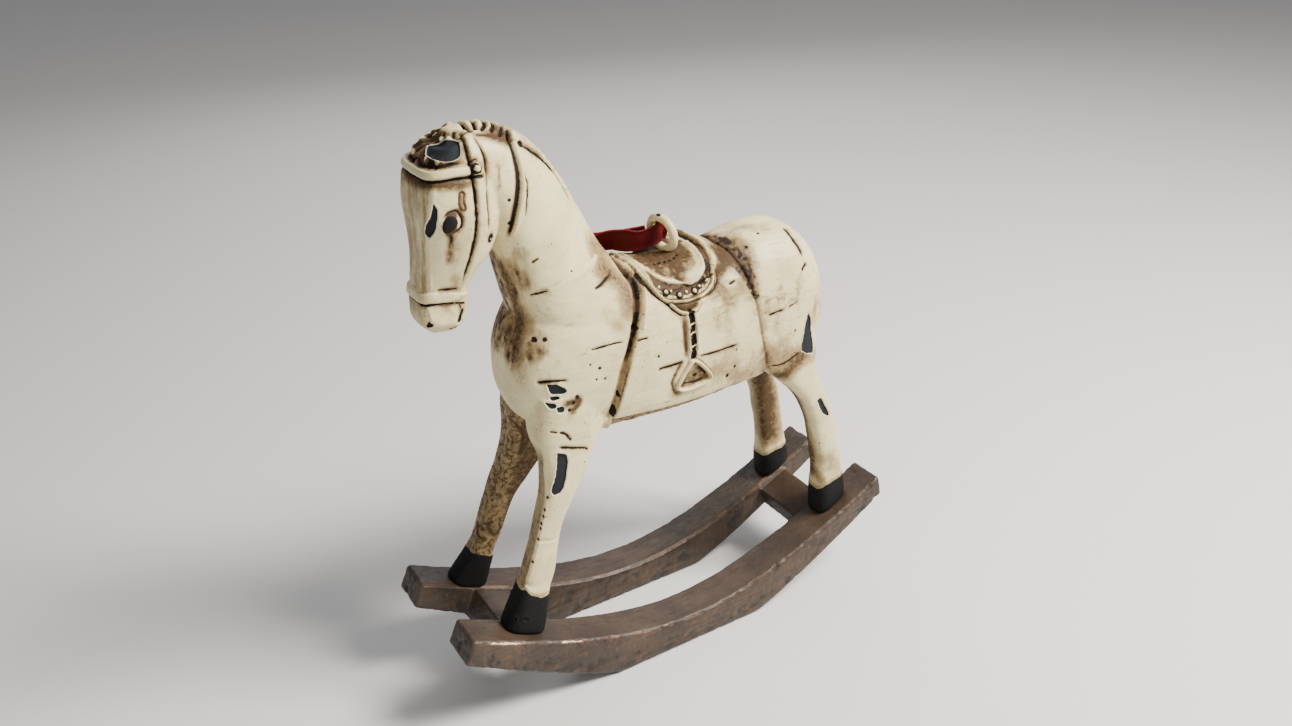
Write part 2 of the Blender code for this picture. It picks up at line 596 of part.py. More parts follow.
def make_ribbon(red):
    hang_z = eye_frame()[0][2]
    rows = smooth_rows([(x, y, z + hang_z, *face) for (x, y, z), face in RIBBON_ROUTE], RIBBON_STEPS)
    points, faces = [], []
    for i, row in enumerate(rows):
        centre, out = row[:3], row[3:]
        along = rows[min(i + 1, len(rows) - 1)][:3] - rows[max(i - 1, 0)][:3]
        along /= np.linalg.norm(along)
        wide = np.cross(along, out)
        wide /= np.linalg.norm(wide)
        out = np.cross(wide, along)
        for u, v in ((-1, -1), (1, -1), (1, 1), (-1, 1)):
            points.append(centre + u * wide * ribbon_width(centre) / 2 + v * out * RIBBON_THICKNESS / 2)
    for i in range(len(rows) - 1):
        for k in range(4):
            m = (k + 1) % 4
            faces.append((4 * i + k, 4 * i + m, 4 * i + m + 4, 4 * i + k + 4))
    last = 4 * (len(rows) - 1)
    faces.append((3, 2, 1, 0))
    faces.append((last, last + 1, last + 2, last + 3))
    ribbon = add_object("ribbon_loop", mesh_from("ribbon_loop", points, faces), red)
    turn_out(ribbon.data)
    return ribbon


def rocker_outline():
    # The side view of a rocker: top edge from front to rear, then the underside back to the front
    front, rear = rocker_ends()
    top = [(x, rocker_top(x)) for x in np.linspace(-ROCKER_HALF_TOP, ROCKER_HALF_TOP, 25)]
    slope = ROCKER_RISE ** 2 * ROCKER_HALF_TOP / math.hypot(ROCKER_SWEEP, ROCKER_RISE * ROCKER_HALF_TOP)
    end_z = rocker_top(ROCKER_HALF_TOP) - ROCKER_END_THICKNESS * math.cos(math.atan(slope))
    below = []
    for foot, end in ((ROCKER_FOOT_REAR, rear), (-ROCKER_FOOT_FRONT, front)):
        arm = []
        for t in np.linspace(0, 1, 9):
            arm.append((foot + (end - foot) * t, end_z * t ** ROCKER_ARM_BOW))
        below.append(arm)
    return top + below[0][::-1] + below[1]


def make_rocker(side):
    outline = rocker_outline()
    inner = ROCKER_SPACE / 2
    low, high = (inner, inner + ROCKER_WIDTH) if side > 0 else (-inner - ROCKER_WIDTH, -inner)
    shift = rocker_shift(side)
    count = len(outline)
    points = [(x + shift, y, z) for y in (low, high) for x, z in outline]
    faces = [tuple(range(count)), tuple(range(2 * count - 1, count - 1, -1))]
    faces += [(i, i + count, (i + 1) % count + count, (i + 1) % count) for i in range(count)]
    rocker = add_object(f"rocker_{side}", mesh_from("rocker", points, faces))
    turn_out(rocker.data)
    edge = rocker.modifiers.new("Bevel", "BEVEL")
    edge.width = ROCKER_EDGE * MM
    edge.segments = 1
    edge.limit_method = "ANGLE"
    edge.angle_limit = math.radians(50)
    return rocker


def turn_out(mesh):
    work = bmesh.new()
    work.from_mesh(mesh)
    bmesh.ops.recalc_face_normals(work, faces=work.faces)
    work.to_mesh(mesh)
    work.free()


def make_bar(name, x, side_slope):
    # A crossbar lying along the slope of the rockers at its place
    lower_top = min(rocker_top(x - rocker_shift(side)) for side in (-1, 1))
    middle = lower_top - BAR_DROP - BAR_THICKNESS / 2
    half_y = ROCKER_SPACE / 2 + BAR_BITE
    work = bmesh.new()
    bmesh.ops.create_cube(work, size=1.0)
    mesh = bpy.data.meshes.new(name)
    work.to_mesh(mesh)
    work.free()
    for vertex in mesh.vertices:
        vertex.co = Vector((vertex.co.x * BAR_LENGTH, vertex.co.y * 2 * half_y,
                            vertex.co.z * BAR_THICKNESS)) * MM
    bar = add_object(name, mesh)
    bar.location = (x * MM, 0, middle * MM)
    bar.rotation_euler = (0, side_slope, 0)
    return bar


def make_frame(brown):
    frame = make_rocker(-1)
    frame.name = "rocker_frame"
    frame.data.materials.append(brown)
    others = [make_rocker(1)]
    for name, x in (("front_bar", BAR_FRONT_X), ("rear_bar", BAR_REAR_X)):
        slope = ROCKER_RISE ** 2 * x / math.hypot(ROCKER_SWEEP, ROCKER_RISE * x)
        others.append(make_bar(name, x, -math.atan(slope)))
    for other in others:
        join = frame.modifiers.new(f"Join {other.name}", "BOOLEAN")
        join.operation = "UNION"
        join.object = other
        other.hide_render = True
        other.display_type = "WIRE"
    return frame


def main():
    remove_everything()
    cream = paint("cream paint", (0.72, 0.66, 0.52), 0.5)
    brown = paint("brown paint", (0.12, 0.075, 0.05), 0.6)
    red = paint("red ribbon", (0.16, 0.003, 0.006), 0.75)
    make_horse(cream)
    make_frame(brown)
    make_eye(cream)
    make_ribbon(red)


main()
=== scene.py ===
import math

import bmesh
import bpy
import numpy as np
from mathutils import Matrix, Vector
from mathutils.bvhtree import BVHTree


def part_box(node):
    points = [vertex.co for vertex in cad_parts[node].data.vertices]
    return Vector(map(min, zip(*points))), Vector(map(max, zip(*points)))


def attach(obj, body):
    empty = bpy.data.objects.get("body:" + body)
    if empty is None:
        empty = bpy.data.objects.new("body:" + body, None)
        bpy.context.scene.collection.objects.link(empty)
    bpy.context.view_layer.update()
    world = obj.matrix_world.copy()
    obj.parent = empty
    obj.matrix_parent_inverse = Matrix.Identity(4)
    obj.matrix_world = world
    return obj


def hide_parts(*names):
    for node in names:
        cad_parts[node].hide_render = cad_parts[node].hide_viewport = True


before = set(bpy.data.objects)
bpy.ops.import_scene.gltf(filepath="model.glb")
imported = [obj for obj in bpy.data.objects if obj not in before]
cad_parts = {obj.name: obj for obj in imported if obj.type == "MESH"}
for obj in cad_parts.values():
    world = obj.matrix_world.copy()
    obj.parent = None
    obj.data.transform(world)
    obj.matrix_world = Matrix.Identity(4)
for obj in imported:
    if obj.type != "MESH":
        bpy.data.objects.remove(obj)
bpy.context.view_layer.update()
mm = 0.001
gap = 0.3  # between two pieces that touch
farOut = 1.5  # masks of outlines run from minus this outside to plus this inside

# Camera

view = {
    "place": (-123.4, -216.6, 201.6),
    "turn": -29.85,  # degrees, about the vertical
    "tilt": -26.93,
    "roll": 2.81,
    "lens": 31.4,
    "film": 36,
}


def addCamera():
    lens = bpy.data.cameras.new("camera")
    lens.sensor_width = view["film"]
    lens.lens = view["lens"]
    lens.clip_start = 0.01
    camera = bpy.data.objects.new("camera", lens)
    bpy.context.scene.collection.objects.link(camera)
    turned = (Matrix.Rotation(math.radians(view["turn"]), 4, "Z")
              @ Matrix.Rotation(math.radians(view["tilt"]), 4, "X")
              @ Matrix.Rotation(math.radians(view["roll"]), 4, "Y")
              @ Matrix.Rotation(math.radians(90), 4, "X"))
    camera.matrix_world = Matrix.Translation(Vector(view["place"]) * mm) @ turned
    bpy.context.scene.camera = camera


# Meshes

def addObject(name, points, faces, material=None):
    mesh = bpy.data.meshes.new(name)
    mesh.from_pydata([tuple(p) for p in np.asarray(points, float) * mm], [], faces)
    mesh.update()
    item = bpy.data.objects.new(name, mesh)
    bpy.context.scene.collection.objects.link(item)
    if material:
        mesh.materials.append(material)
    return item


def turnOut(mesh):
    work = bmesh.new()
    work.from_mesh(mesh)
    bmesh.ops.recalc_face_normals(work, faces=work.faces)
    work.to_mesh(mesh)
    work.free()


def shadeSmooth(mesh):
    mesh.polygons.foreach_set("use_smooth", [True] * len(mesh.polygons))
    mesh.update()


def settle(item):
    # Turns the object's modifiers into its mesh
    graph = bpy.context.evaluated_depsgraph_get()
    graph.update()
    made = bpy.data.meshes.new_from_object(item.evaluated_get(graph))
    item.modifiers.clear()
    item.data = made


def refine(item, voxel, soften):
    # One even fine skin round everything in the mesh, a little softened
    fine = item.modifiers.new("Fine", "REMESH")
    fine.mode = "VOXEL"
    fine.voxel_size = voxel * mm
    soft = item.modifiers.new("Soft", "SMOOTH")
    soft.iterations = soften
    settle(item)


def dress(item, triangles, material):
    # Thinned to this many triangles, smooth, and painted
    thin = item.modifiers.new("Thin", "DECIMATE")
    thin.ratio = min(1.0, triangles / (2 * len(item.data.polygons)))
    settle(item)
    item.data.materials.clear()
    item.data.materials.append(material)
    shadeSmooth(item.data)


def readPlaces(mesh, what="co"):
    values = np.empty(len(mesh.vertices) * 3)
    mesh.vertices.foreach_get(what, values)
    return values.reshape(-1, 3)


def writePlaces(mesh, points):
    mesh.vertices.foreach_set("co", (points * mm).ravel())
    mesh.update()


def writeMask(mesh, name, values):
    mask = mesh.attributes.new(name, "FLOAT", "POINT")
    mask.data.foreach_set("value", np.asarray(values, np.float32))


# Curves and fields in numbers

def smoothRows(rows, steps):
    # Catmull-Rom through rows of numbers, with steps between two rows
    rows = np.array(rows, float)
    padded = np.vstack([2 * rows[0] - rows[1], rows, 2 * rows[-1] - rows[-2]])
    out = []
    for a, b, c, d in zip(padded, padded[1:], padded[2:], padded[3:]):
        for k in range(steps):
            t = k / steps
            out.append(0.5 * (2 * b + (c - a) * t + (2 * a - 5 * b + 4 * c - d) * t * t
                              + (3 * b - a - 3 * c + d) * t ** 3))
    out.append(rows[-1])
    return np.array(out)


def evenRows(rows, spacing):
    # The same line with its rows an even distance apart
    along = np.concatenate([[0], np.cumsum(np.linalg.norm(np.diff(rows[:, :3], axis=0), axis=1))])
    wanted = np.linspace(0, along[-1], max(2, int(round(along[-1] / spacing)) + 1))
    return np.stack([np.interp(wanted, along, column) for column in rows.T], axis=1), wanted


def ramp(value, low, high):
    # 0 below low, 1 above high, smooth between them
    t = np.clip((value - low) / (high - low), 0, 1)
    return t * t * (3 - 2 * t)


def bell(distance, width):
    return np.exp(-(distance / width) ** 2)


def moved(line, x=0.0, y=0.0, z=0.0):
    return [(p[0] + x, p[1] + y, p[2] + z) for p in line]


def lineAt(line, values, given=0, wanted=2, **beyond):
    # One coordinate of a line, its height unless told, where another has these values
    line = sorted(line, key=lambda point: point[given])
    return np.interp(values, [p[given] for p in line], [p[wanted] for p in line], **beyond)


scatter = {"seedStep": 17.3, "axes": (127.1, 311.7, 74.7), "size": 43758.5453}  # any uneven numbers


def unevenness(points, size, seed=0):
    # Smooth random values from -1 to 1 with bumps of about this size
    cell = points / size + seed * scatter["seedStep"]
    base = np.floor(cell)
    part = cell - base
    part = part * part * (3 - 2 * part)
    total = np.zeros(len(points))
    for i in (0, 1):
        for j in (0, 1):
            for k in (0, 1):
                corner = base + (i, j, k)
                value = np.sin(corner @ scatter["axes"]) * scatter["size"]
                weight = np.ones(len(points))
                for axis, up in enumerate((i, j, k)):
                    weight *= part[:, axis] if up else 1 - part[:, axis]
                total += weight * (value - np.floor(value))
    return total * 2 - 1


# Ribbon

ribbon = {
    "width": 6.0,
    "thickness": 0.5,
    "squeeze": 3.5,  # gaps kept free across the ring's hole
    "rib": 0.42,  # from one rib of the weave to the next
    "ribDepth": 0.07,
    "length": 131.0,
    "end": (6.8, 7.1, 106.0),
    "gathered": 0.3,  # share of its width
    "gatheredFrom": 5.0,  # before its end
    "selvedge": 0.88,  # the ribs reach this share of the half width
    "steps": 16,  # between two points of its way
    "rowsPerRib": 4,
    "rowsPerCordPoint": 12,
    # The way from the ring's far side forward over the withers, down the far shoulder, round and back.
    # Heights are counted from the middle of the ring, and each point has the way its face looks.
    "route": [
        ((8.0, 4.6, 0.1), (0.9, 0.5, 0.0)),
        ((8.5, 3.0, 0.1), (0.9, 0.3, 0.0)),
        ((8.1, 1.4, 0.1), (0.6, 0.8, 0.0)),
        ((6.8, 0.5, 0.1), (0.1, 1.0, 0.0)),
        ((4.4, 0.9, -0.7), (0.1, 1.0, 0.0)),
        ((1.2, 2.0, -1.3), (0.2, 1.0, 0.1)),
        ((-1.8, 4.0, -1.1), (0.2, 1.0, 0.2)),
        ((-5.0, 6.4, -1.1), (0.2, 0.9, 0.4)),
        ((-8.4, 9.0, -2.7), (0.2, 0.8, 0.6)),
        ((-11.2, 11.8, -6.1), (0.1, 0.8, 0.6)),
        ((-13.0, 14.8, -10.7), (0.0, 0.9, 0.4)),
        ((-13.8, 16.6, -16.7), (0.0, 1.0, 0.2)),
        ((-14.0, 17.2, -23.7), (0.0, 1.0, 0.0)),
        ((-14.0, 17.2, -31.7), (0.0, 1.0, 0.0)),
        ((-14.0, 17.2, -38.7), (0.0, 1.0, 0.1)),
        ((-14.0, 18.2, -42.5), (0.0, 0.7, 0.7)),
        ((-14.0, 20.2, -43.7), (0.0, 0.0, 1.0)),
        ((-14.0, 22.2, -42.3), (0.0, -0.7, 0.7)),
        ((-14.0, 23.0, -38.1), (0.0, -1.0, 0.1)),
        ((-14.0, 22.9, -30.7), (0.0, -1.0, 0.0)),
        ((-14.0, 22.3, -22.7), (0.0, -1.0, -0.1)),
        ((-13.6, 20.9, -15.7), (0.0, -1.0, -0.3)),
        ((-12.6, 18.4, -9.7), (-0.1, -0.9, -0.5)),
        ((-10.4, 14.9, -4.9), (-0.2, -0.8, -0.6)),
        ((-7.0, 11.9, -2.9), (-0.2, -0.9, -0.5)),
        ((-3.0, 10.0, -2.8), (-0.2, -0.9, -0.4)),
        ((1.0, 8.6, -2.8), (-0.2, -1.0, -0.4)),
        ((4.2, 7.8, -2.4), (-0.2, -1.0, -0.3)),
        ((6.8, 7.1, -1.9), (-0.2, -1.0, -0.1)),
    ],
}

wireEye = {
    "wire": 2.1,
    "radius": 3.95,  # to the middle of the wire
    "middle": (7.05, 0.0, 107.7),
    "lean": 7.0,  # degrees, forward
    "turn": 12.0,  # degrees, the far side stands further forward
    "shank": 6.0,
    "steps": 72,
    "sides": 24,
    "shankSteps": 12,
    "voxel": 0.12,
    "soften": 4,
    "unevenness": 0.04,
    "chip": (0.62, 0.08),  # radius and depth of the chip on top of the ring
    "chipPlace": (0.9, 0.2),  # above the middle of the wire, and to the far side
    "brownFrom": 3.2,  # below the ring's middle
}


def ribbonWidth(centre):
    # Full width where it is free, and squeezed where it passes through the ring
    radius, wire = wireEye["radius"], wireEye["wire"]
    hole = 2 * radius - wire
    squeezed = math.sqrt((hole - ribbon["squeeze"] * gap) ** 2 - ribbon["thickness"] ** 2)
    away = math.dist(centre, wireEye["middle"])
    share = min(max((away - radius - wire / 2) / radius, 0), 1)
    width = squeezed + (ribbon["width"] - squeezed) * share
    # The end that is tucked away behind the ring is gathered
    nearEnd = max(0, 1 - math.dist(centre, ribbon["end"]) / ribbon["gatheredFrom"])
    return width * (1 - ribbon["gathered"] * nearEnd)


def makeRibbon(material):
    lift = wireEye["middle"][2]
    rows = smoothRows([(x, y, z + lift, *face) for (x, y, z), face in ribbon["route"]], ribbon["steps"])
    rows, along = evenRows(rows, ribbon["rib"] / ribbon["rowsPerRib"])
    # Across the strip: a plain selvedge at both edges, ribs between them
    across = [(-1.0, 0.0), (-1.0, 0.7), (-0.97, 1.0), (-0.9, 1.0), (-0.87, 0.8), (-0.5, 0.8), (0.0, 0.8),
              (0.5, 0.8), (0.87, 0.8), (0.9, 1.0), (0.97, 1.0), (1.0, 0.7), (1.0, 0.0)]
    outline = across + [(u, -v) for u, v in across[-2:0:-1]]
    points, faces, edge, rib = [], [], [], []
    directions = np.gradient(rows[:, :3], axis=0)
    for row, ahead, reach in zip(rows, directions, along):
        ahead = ahead / np.linalg.norm(ahead)
        wide = np.cross(ahead, row[3:])
        wide /= np.linalg.norm(wide)
        out = np.cross(wide, ahead)
        half = ribbonWidth(row[:3]) / 2
        wave = 0.5 + 0.5 * math.cos(2 * math.pi * reach / ribbon["rib"])
        for u, v in outline:
            ribbed = abs(u) < ribbon["selvedge"]
            sunk = ribbon["ribDepth"] * (1 - wave) if ribbed else 0.0
            thick = abs(v) * ribbon["thickness"] / 2 - sunk * abs(v)
            points.append(row[:3] + wide * u * half + out * math.copysign(thick, v))
            edge.append(0.0 if ribbed else 1.0)
            rib.append(wave)
    count = len(outline)
    for i in range(len(rows) - 1):
        for k in range(count):
            m = (k + 1) % count
            faces.append((i * count + k, i * count + m, (i + 1) * count + m, (i + 1) * count + k))
    last = count * (len(rows) - 1)
    faces.append(tuple(range(count - 1, -1, -1)))
    faces.append(tuple(last + k for k in range(count)))
    strip = addObject("ribbon_strip", points, faces, material)
    turnOut(strip.data)
    shadeSmooth(strip.data)
    writeMask(strip.data, "edge", edge)
    writeMask(strip.data, "rib", rib)
    every = ribbon["rowsPerCordPoint"]
    route = rows[::every, :3]
    if len(rows) % every != 1:
        route = np.vstack([route, rows[-1:, :3]])
    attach(strip, "root")
    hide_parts("ribbon_loop")
    print("ribbon:", len(points), "points,", round(along[-1], 1), "mm")


# Wire eye

def tube(centres, radius, sides, closed, flat):
    # A round bar along a flat line of points; flat is the direction square to that plane
    count = len(centres)
    points, faces = [], []
    for i, centre in enumerate(centres):
        ahead = centres[(i + 1) % count] if closed or i + 1 < count else centre
        behind = centres[i - 1] if closed or i > 0 else centre
        along = (ahead - behind) / np.linalg.norm(ahead - behind)
        side = np.cross(along, flat)
        side /= np.linalg.norm(side)
        other = np.cross(along, side)
        for k in range(sides):
            angle = 2 * math.pi * k / sides
            points.append(centre + radius * (math.cos(angle) * side + math.sin(angle) * other))
    for i in range(count if closed else count - 1):
        j = (i + 1) % count
        for k in range(sides):
            m = (k + 1) % sides
            faces.append((i * sides + k, i * sides + m, j * sides + m, j * sides + k))
    if not closed:
        faces.append(tuple(range(sides)))
        faces.append(tuple(range(count * sides - 1, (count - 1) * sides - 1, -1)))
    return points, faces


def makeWireEye(material):
    lean, turn = math.radians(wireEye["lean"]), math.radians(wireEye["turn"])
    middle, radius = np.array(wireEye["middle"]), wireEye["radius"]
    across = np.array([-math.sin(turn), math.cos(turn), 0.0])
    up = np.array([-math.sin(lean), 0.0, math.cos(lean)])
    turns = [2 * math.pi * i / wireEye["steps"] for i in range(wireEye["steps"])]
    ring = [middle + radius * (math.cos(t) * across + math.sin(t) * up) for t in turns]
    flat = np.cross(across, up)
    points, faces = tube(ring, wireEye["wire"] / 2, wireEye["sides"], True, flat)
    foot = middle - up * radius
    line = [foot - up * wireEye["shank"] * t for t in np.linspace(0, 1, wireEye["shankSteps"])]
    more, sides = tube(line, wireEye["wire"] / 2, wireEye["sides"], False, flat)
    faces += [tuple(len(points) + i for i in face) for face in sides]
    points = np.array(points + more)
    eye = addObject("wire_eye", points, faces, material)
    turnOut(eye.data)
    refine(eye, wireEye["voxel"], wireEye["soften"])
    eye.data.materials.clear()
    eye.data.materials.append(material)
    places = readPlaces(eye.data) / mm
    normals = readPlaces(eye.data, "normal")
    # Dipped paint is a little uneven, and a chip of it has come off the top of the ring
    uneven, (chipRadius, chipDepth) = wireEye["unevenness"], wireEye["chip"]
    places += normals * (uneven * unevenness(places, 1.2, 5) - uneven)[:, None]
    over, aside = wireEye["chipPlace"]
    chipPlace = middle + up * (radius + over) + across * aside + np.array([-0.3, -0.3, 0])
    chipAway = chipRadius - np.linalg.norm((places - chipPlace) * (1, 0.8, 1), axis=1)
    chipAway += 0.15 * unevenness(places, 0.5, 6)
    places -= normals * (chipDepth * ramp(chipAway, -0.05, 0.1))[:, None]
    writePlaces(eye.data, places)
    shadeSmooth(eye.data)
    inner = np.linalg.norm(places - middle, axis=1) < radius
    low = ramp(middle[2] - wireEye["brownFrom"] - places[:, 2], 0, 2.5)
    writeMask(eye.data, "stain", np.clip(low * 0.8 + inner * 0.15, 0, 1))
    writeMask(eye.data, "chip", np.clip(chipAway, -farOut, farOut))
    writeMask(eye.data, "dark", np.zeros(len(places)))
    writeMask(eye.data, "hoof", np.full(len(places), -farOut))
    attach(eye, "root")
    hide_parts("hanging_eye")
    print("wire eye:", len(places), "points")


# Rockers, each described from its own middle

rockers = {
    "frontRake": 3.0,
    "rearRake": 1.2,
    "midHeight": 8.3,
    "sweep": 26.6,
    "rise": 0.624,
    "stagger": 2.3,
    "space": 16.0,
    "voxel": 0.34,
    "soften": 2,
    "inner": 0.2,  # distances across a rocker, from its inner side
    "outer": 10.9,
    "wear": 0.32,  # deepest roughness of the outer sides
    "endWear": 0.22,
    "endFrom": (57, 62),
    "cornerWear": 0.3,
    "stepDepth": (0.12, 0.18),  # on both rockers, and more on the far one
    "triangles": 120000,
}


def rockerTop(x):
    return rockers["midHeight"] + np.hypot(rockers["sweep"], rockers["rise"] * x) - rockers["sweep"]


def rockerShift(far):
    # Where a rocker's middle stands along X
    rake = (rockers["frontRake"] - rockers["rearRake"]) / 2
    return rake - np.where(far, 1, -1) * rockers["stagger"] / 2


def makeRockers(material):
    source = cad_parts["rocker_frame"]
    mesh = source.data.copy()
    mesh.materials.clear()
    piece = bpy.data.objects.new("rocker_pair", mesh)
    bpy.context.scene.collection.objects.link(piece)
    refine(piece, rockers["voxel"], rockers["soften"])
    mesh = piece.data
    places, normals = readPlaces(mesh) / mm, readPlaces(mesh, "normal")
    x, y, z = places.T
    drop = rockerTop(x - rockerShift(y > 0)) - z  # below the top edge
    half = rockers["space"] / 2
    inner, outer = half + rockers["inner"], half + rockers["outer"]
    outside = ramp(np.abs(y), outer - 1.3, outer)
    inside = ramp(np.abs(y), inner + 1.2, inner) * (np.abs(y) > half - 0.5)
    topFace = ramp(normals[:, 2], 0.6, 0.9)
    # Long brush and saw marks, lumps on the sides, and corners rubbed off
    long = places * (0.12, 1, 1)
    lumps = ramp(unevenness(places, 3.2, 1) + 0.6 * unevenness(places, 1.3, 2), 0.1, 1.1)
    marks = ramp(unevenness(long, 0.9, 3) + 0.5 * unevenness(long, 0.45, 4), 0.2, 1.2)
    crumb = ramp(unevenness(places, 0.9, 8), 0.1, 0.9)
    sideways = 1 - topFace
    sunk = rockers["wear"] * (0.25 * marks + sideways * (0.55 * lumps + 0.35 * crumb) + 0.1 * lumps)
    sunk += rockers["endWear"] * ramp(np.abs(x), *rockers["endFrom"]) * lumps
    corner = outside * ramp(drop, 2.2, 0.2)
    sunk += rockers["cornerWear"] * corner * ramp(unevenness(places, 1.6, 9), -0.2, 0.8)
    # A shallow step along the inner edge of the top, deeper on the far rocker
    stepDepth, farMore = rockers["stepDepth"]
    sunk += (stepDepth + farMore * (y > 0)) * inside * topFace
    writePlaces(mesh, places - normals * sunk[:, None])
    # Paint rubbed off along the outer edge of the top, mostly in front, and along the far rocker's inner edge
    edgeLine = bell(drop - 0.35, 0.45) * ramp(np.abs(y), outer - 0.9, outer - 0.3)
    forward = 0.35 + 0.65 * ramp(-x, 5, 45)
    innerLine = bell(drop - 0.1, 0.35) * ramp(inner + 1.4 - np.abs(y), 0, 0.6) * (y > half - 1)
    rub = np.maximum.reduce([
        edgeLine * ramp(unevenness(places * (0.4, 1, 1), 1.1, 10), -0.25, 0.35) * forward,
        0.45 * edgeLine * ramp(unevenness(places, 0.8, 14), 0.2, 0.6),
        0.5 * innerLine * ramp(unevenness(places * (0.3, 1, 1), 1.4, 16), -0.6, 0.2)])
    grime = np.clip(0.75 * sideways * lumps + 0.5 * ramp(drop, 2.5, 7) + 0.4 * marks, 0, 1)
    writeMask(mesh, "rub", rub)
    writeMask(mesh, "grime", grime)
    writeMask(mesh, "side", outside)
    dress(piece, rockers["triangles"], material)
    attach(piece, "root")
    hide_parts("rocker_frame")
    print("rockers:", len(piece.data.polygons), "faces")


# Horse. A form is a list of sections, each with the x and z of its front point and of its rear point, the y
# of its middle, its half width, the squareness of its front and rear halves, and its taper to the rear

horse = {
    "voxel": 0.26,
    "soften": 20,
    "triangles": 196000,
    "ring": 56,  # points round a section
    "steps": 6,  # sections between two rows
    "grooveDepth": 1.5,
    "panelRaise": 0.8,  # the barrel stands this proud of the shoulder and the haunch
    "clothRaise": 0.5,
    "strapRaise": 0.5,
    "cordRaise": 0.75,
    "chipDepth": 0.32,
    "chipLip": 0.14,
}

forms = {
    "torso": [
        (-37.8, 79, -37.3, 89, 0, 5.4, 2.2, 2.2, 0),
        (-35.8, 73.5, -34.6, 97, 0, 10, 2.4, 2.2, 0),
        (-30.8, 69.2, -28.6, 103, 0, 13, 2.8, 2.2, 0),
        (-24, 66.6, -19, 104, 0, 14.6, 3, 2.3, 0),
        (-15, 64.8, -10, 104.4, 0, 14.8, 3.2, 2.3, 0),
        (-5, 63.8, -3, 102.6, 0, 15, 3.2, 2.4, 0),
        (5, 63.2, 5, 101.2, 0, 15, 3.2, 2.4, 0),
        (15, 63.6, 15, 101.4, 0, 14.8, 3.2, 2.4, 0),
        (24, 65, 24, 103.2, 0, 14.4, 3, 2.4, 0),
        (32, 66, 32, 104.6, 0, 14.2, 2.8, 2.4, 0),
        (39, 66.8, 40.2, 103.9, 0, 13.8, 2.8, 2.4, 0),
        (44.6, 68.8, 46, 98.6, 0, 12.6, 2.8, 2.4, 0),
        (48.6, 74, 48.6, 89, 0, 8.6, 2.4, 2.2, 0),
    ],
    "neck": [
        (-33, 90, 0, 100, 0, 13, 2.2, 2.2, 0),
        (-33.6, 97, -6, 104, 0, 12.2, 2.2, 2, -0.1),
        (-34.6, 102, -9.2, 107.8, 0, 11.2, 2.2, 1.9, -0.15),
        (-35.6, 108, -12.4, 113.5, 0, 10.2, 2.3, 1.8, -0.2),
        (-36.8, 114.5, -15.8, 121, 0, 9.4, 2.3, 1.8, -0.22),
        (-38.6, 121, -19.4, 128.2, 0, 8.8, 2.3, 1.8, -0.22),
        (-41, 127, -24.4, 135.2, 0, 8.4, 2.3, 1.8, -0.22),
        (-43.5, 131, -31, 140.4, 0, 8, 2.3, 1.9, -0.2),
        (-47, 134, -38, 142.6, 0, 7.2, 2.3, 2, -0.15),
        (-49.5, 135.5, -44.5, 141.8, 0, 5.5, 2.3, 2, -0.1),
    ],
    "head": [
        (-48.2, 139.4, -38, 141.4, 0, 6.6, 2.8, 2.2, 0),
        (-51.2, 136.2, -36, 136, 0, 8.8, 3.6, 2.3, 0),
        (-52.6, 131.5, -35, 129, 0, 9.8, 4.8, 2.4, 0.04),
        (-53.2, 126, -35.6, 121.6, 0, 9.8, 4.8, 2.5, 0.06),
        (-53.5, 120, -38.2, 116, 0, 8.6, 4.6, 2.5, 0.16),
        (-54.2, 114, -41.8, 111.8, 0, 6.9, 4.4, 2.4, 0.2),
        (-55, 109, -44.2, 107.6, 0, 5.9, 4.4, 2.6, 0.1),
        (-56, 104.6, -44.6, 103.6, 0, 5.8, 4.4, 3, 0.02),
        (-55.4, 101.4, -45.4, 100.8, 0, 5.2, 3.6, 3, 0),
        (-53.2, 99.2, -48.4, 99, 0, 3.8, 3, 3, 0),
    ],
    "tail": [
        (40, 96, 45.5, 97.5, 0, 3, 2.2, 2.2, 0),
        (44.5, 90, 50.6, 91.6, 0, 3.4, 2.2, 2.2, 0),
        (46.5, 82, 52.6, 83, 0, 3.8, 2.2, 2.2, 0),
        (46.5, 73, 52.2, 73.6, 0, 3.9, 2.2, 2.2, 0),
        (45, 64, 50.4, 64.4, 0, 3.4, 2.2, 2.2, 0),
        (45, 56, 47.6, 56, 0, 1.6, 2.2, 2.2, 0),
    ],
    "mane": [
        (-41.5, 139, -42, 142, 0, 2, 2.6, 2.6, 0),
        (-36.5, 138.5, -35, 142.2, 0, 3.2, 2.6, 2.6, 0),
        (-31, 135, -28, 138.7, 0, 3.8, 2.6, 2.6, 0),
        (-26.6, 129.6, -22.8, 133.2, 0, 3.6, 2.6, 2.6, 0),
        (-22.6, 123.4, -18.9, 126.6, 0, 3, 2.6, 2.6, 0),
        (-19.4, 117.6, -15.6, 119.8, 0, 1.8, 2.6, 2.6, 0),
    ],
    "seat": [
        (0.6, 97, 0.2, 101.6, 0, 4, 2.4, 2.4, 0),
        (3, 96, 3, 101.9, 0, 7.6, 2.4, 2.2, 0),
        (7, 94, 7, 102.3, 0, 10, 2.4, 2.2, 0),
        (11, 94, 11.5, 103.2, 0, 10.4, 2.4, 2.2, 0),
        (14.6, 95, 15.4, 103.9, 0, 9, 2.4, 2.2, 0),
        (17.6, 97, 18.6, 103, 0, 5.4, 2.4, 2.2, 0),
        (19.4, 98.5, 20.2, 101.6, 0, 2.4, 2.4, 2.2, 0),
    ],
}

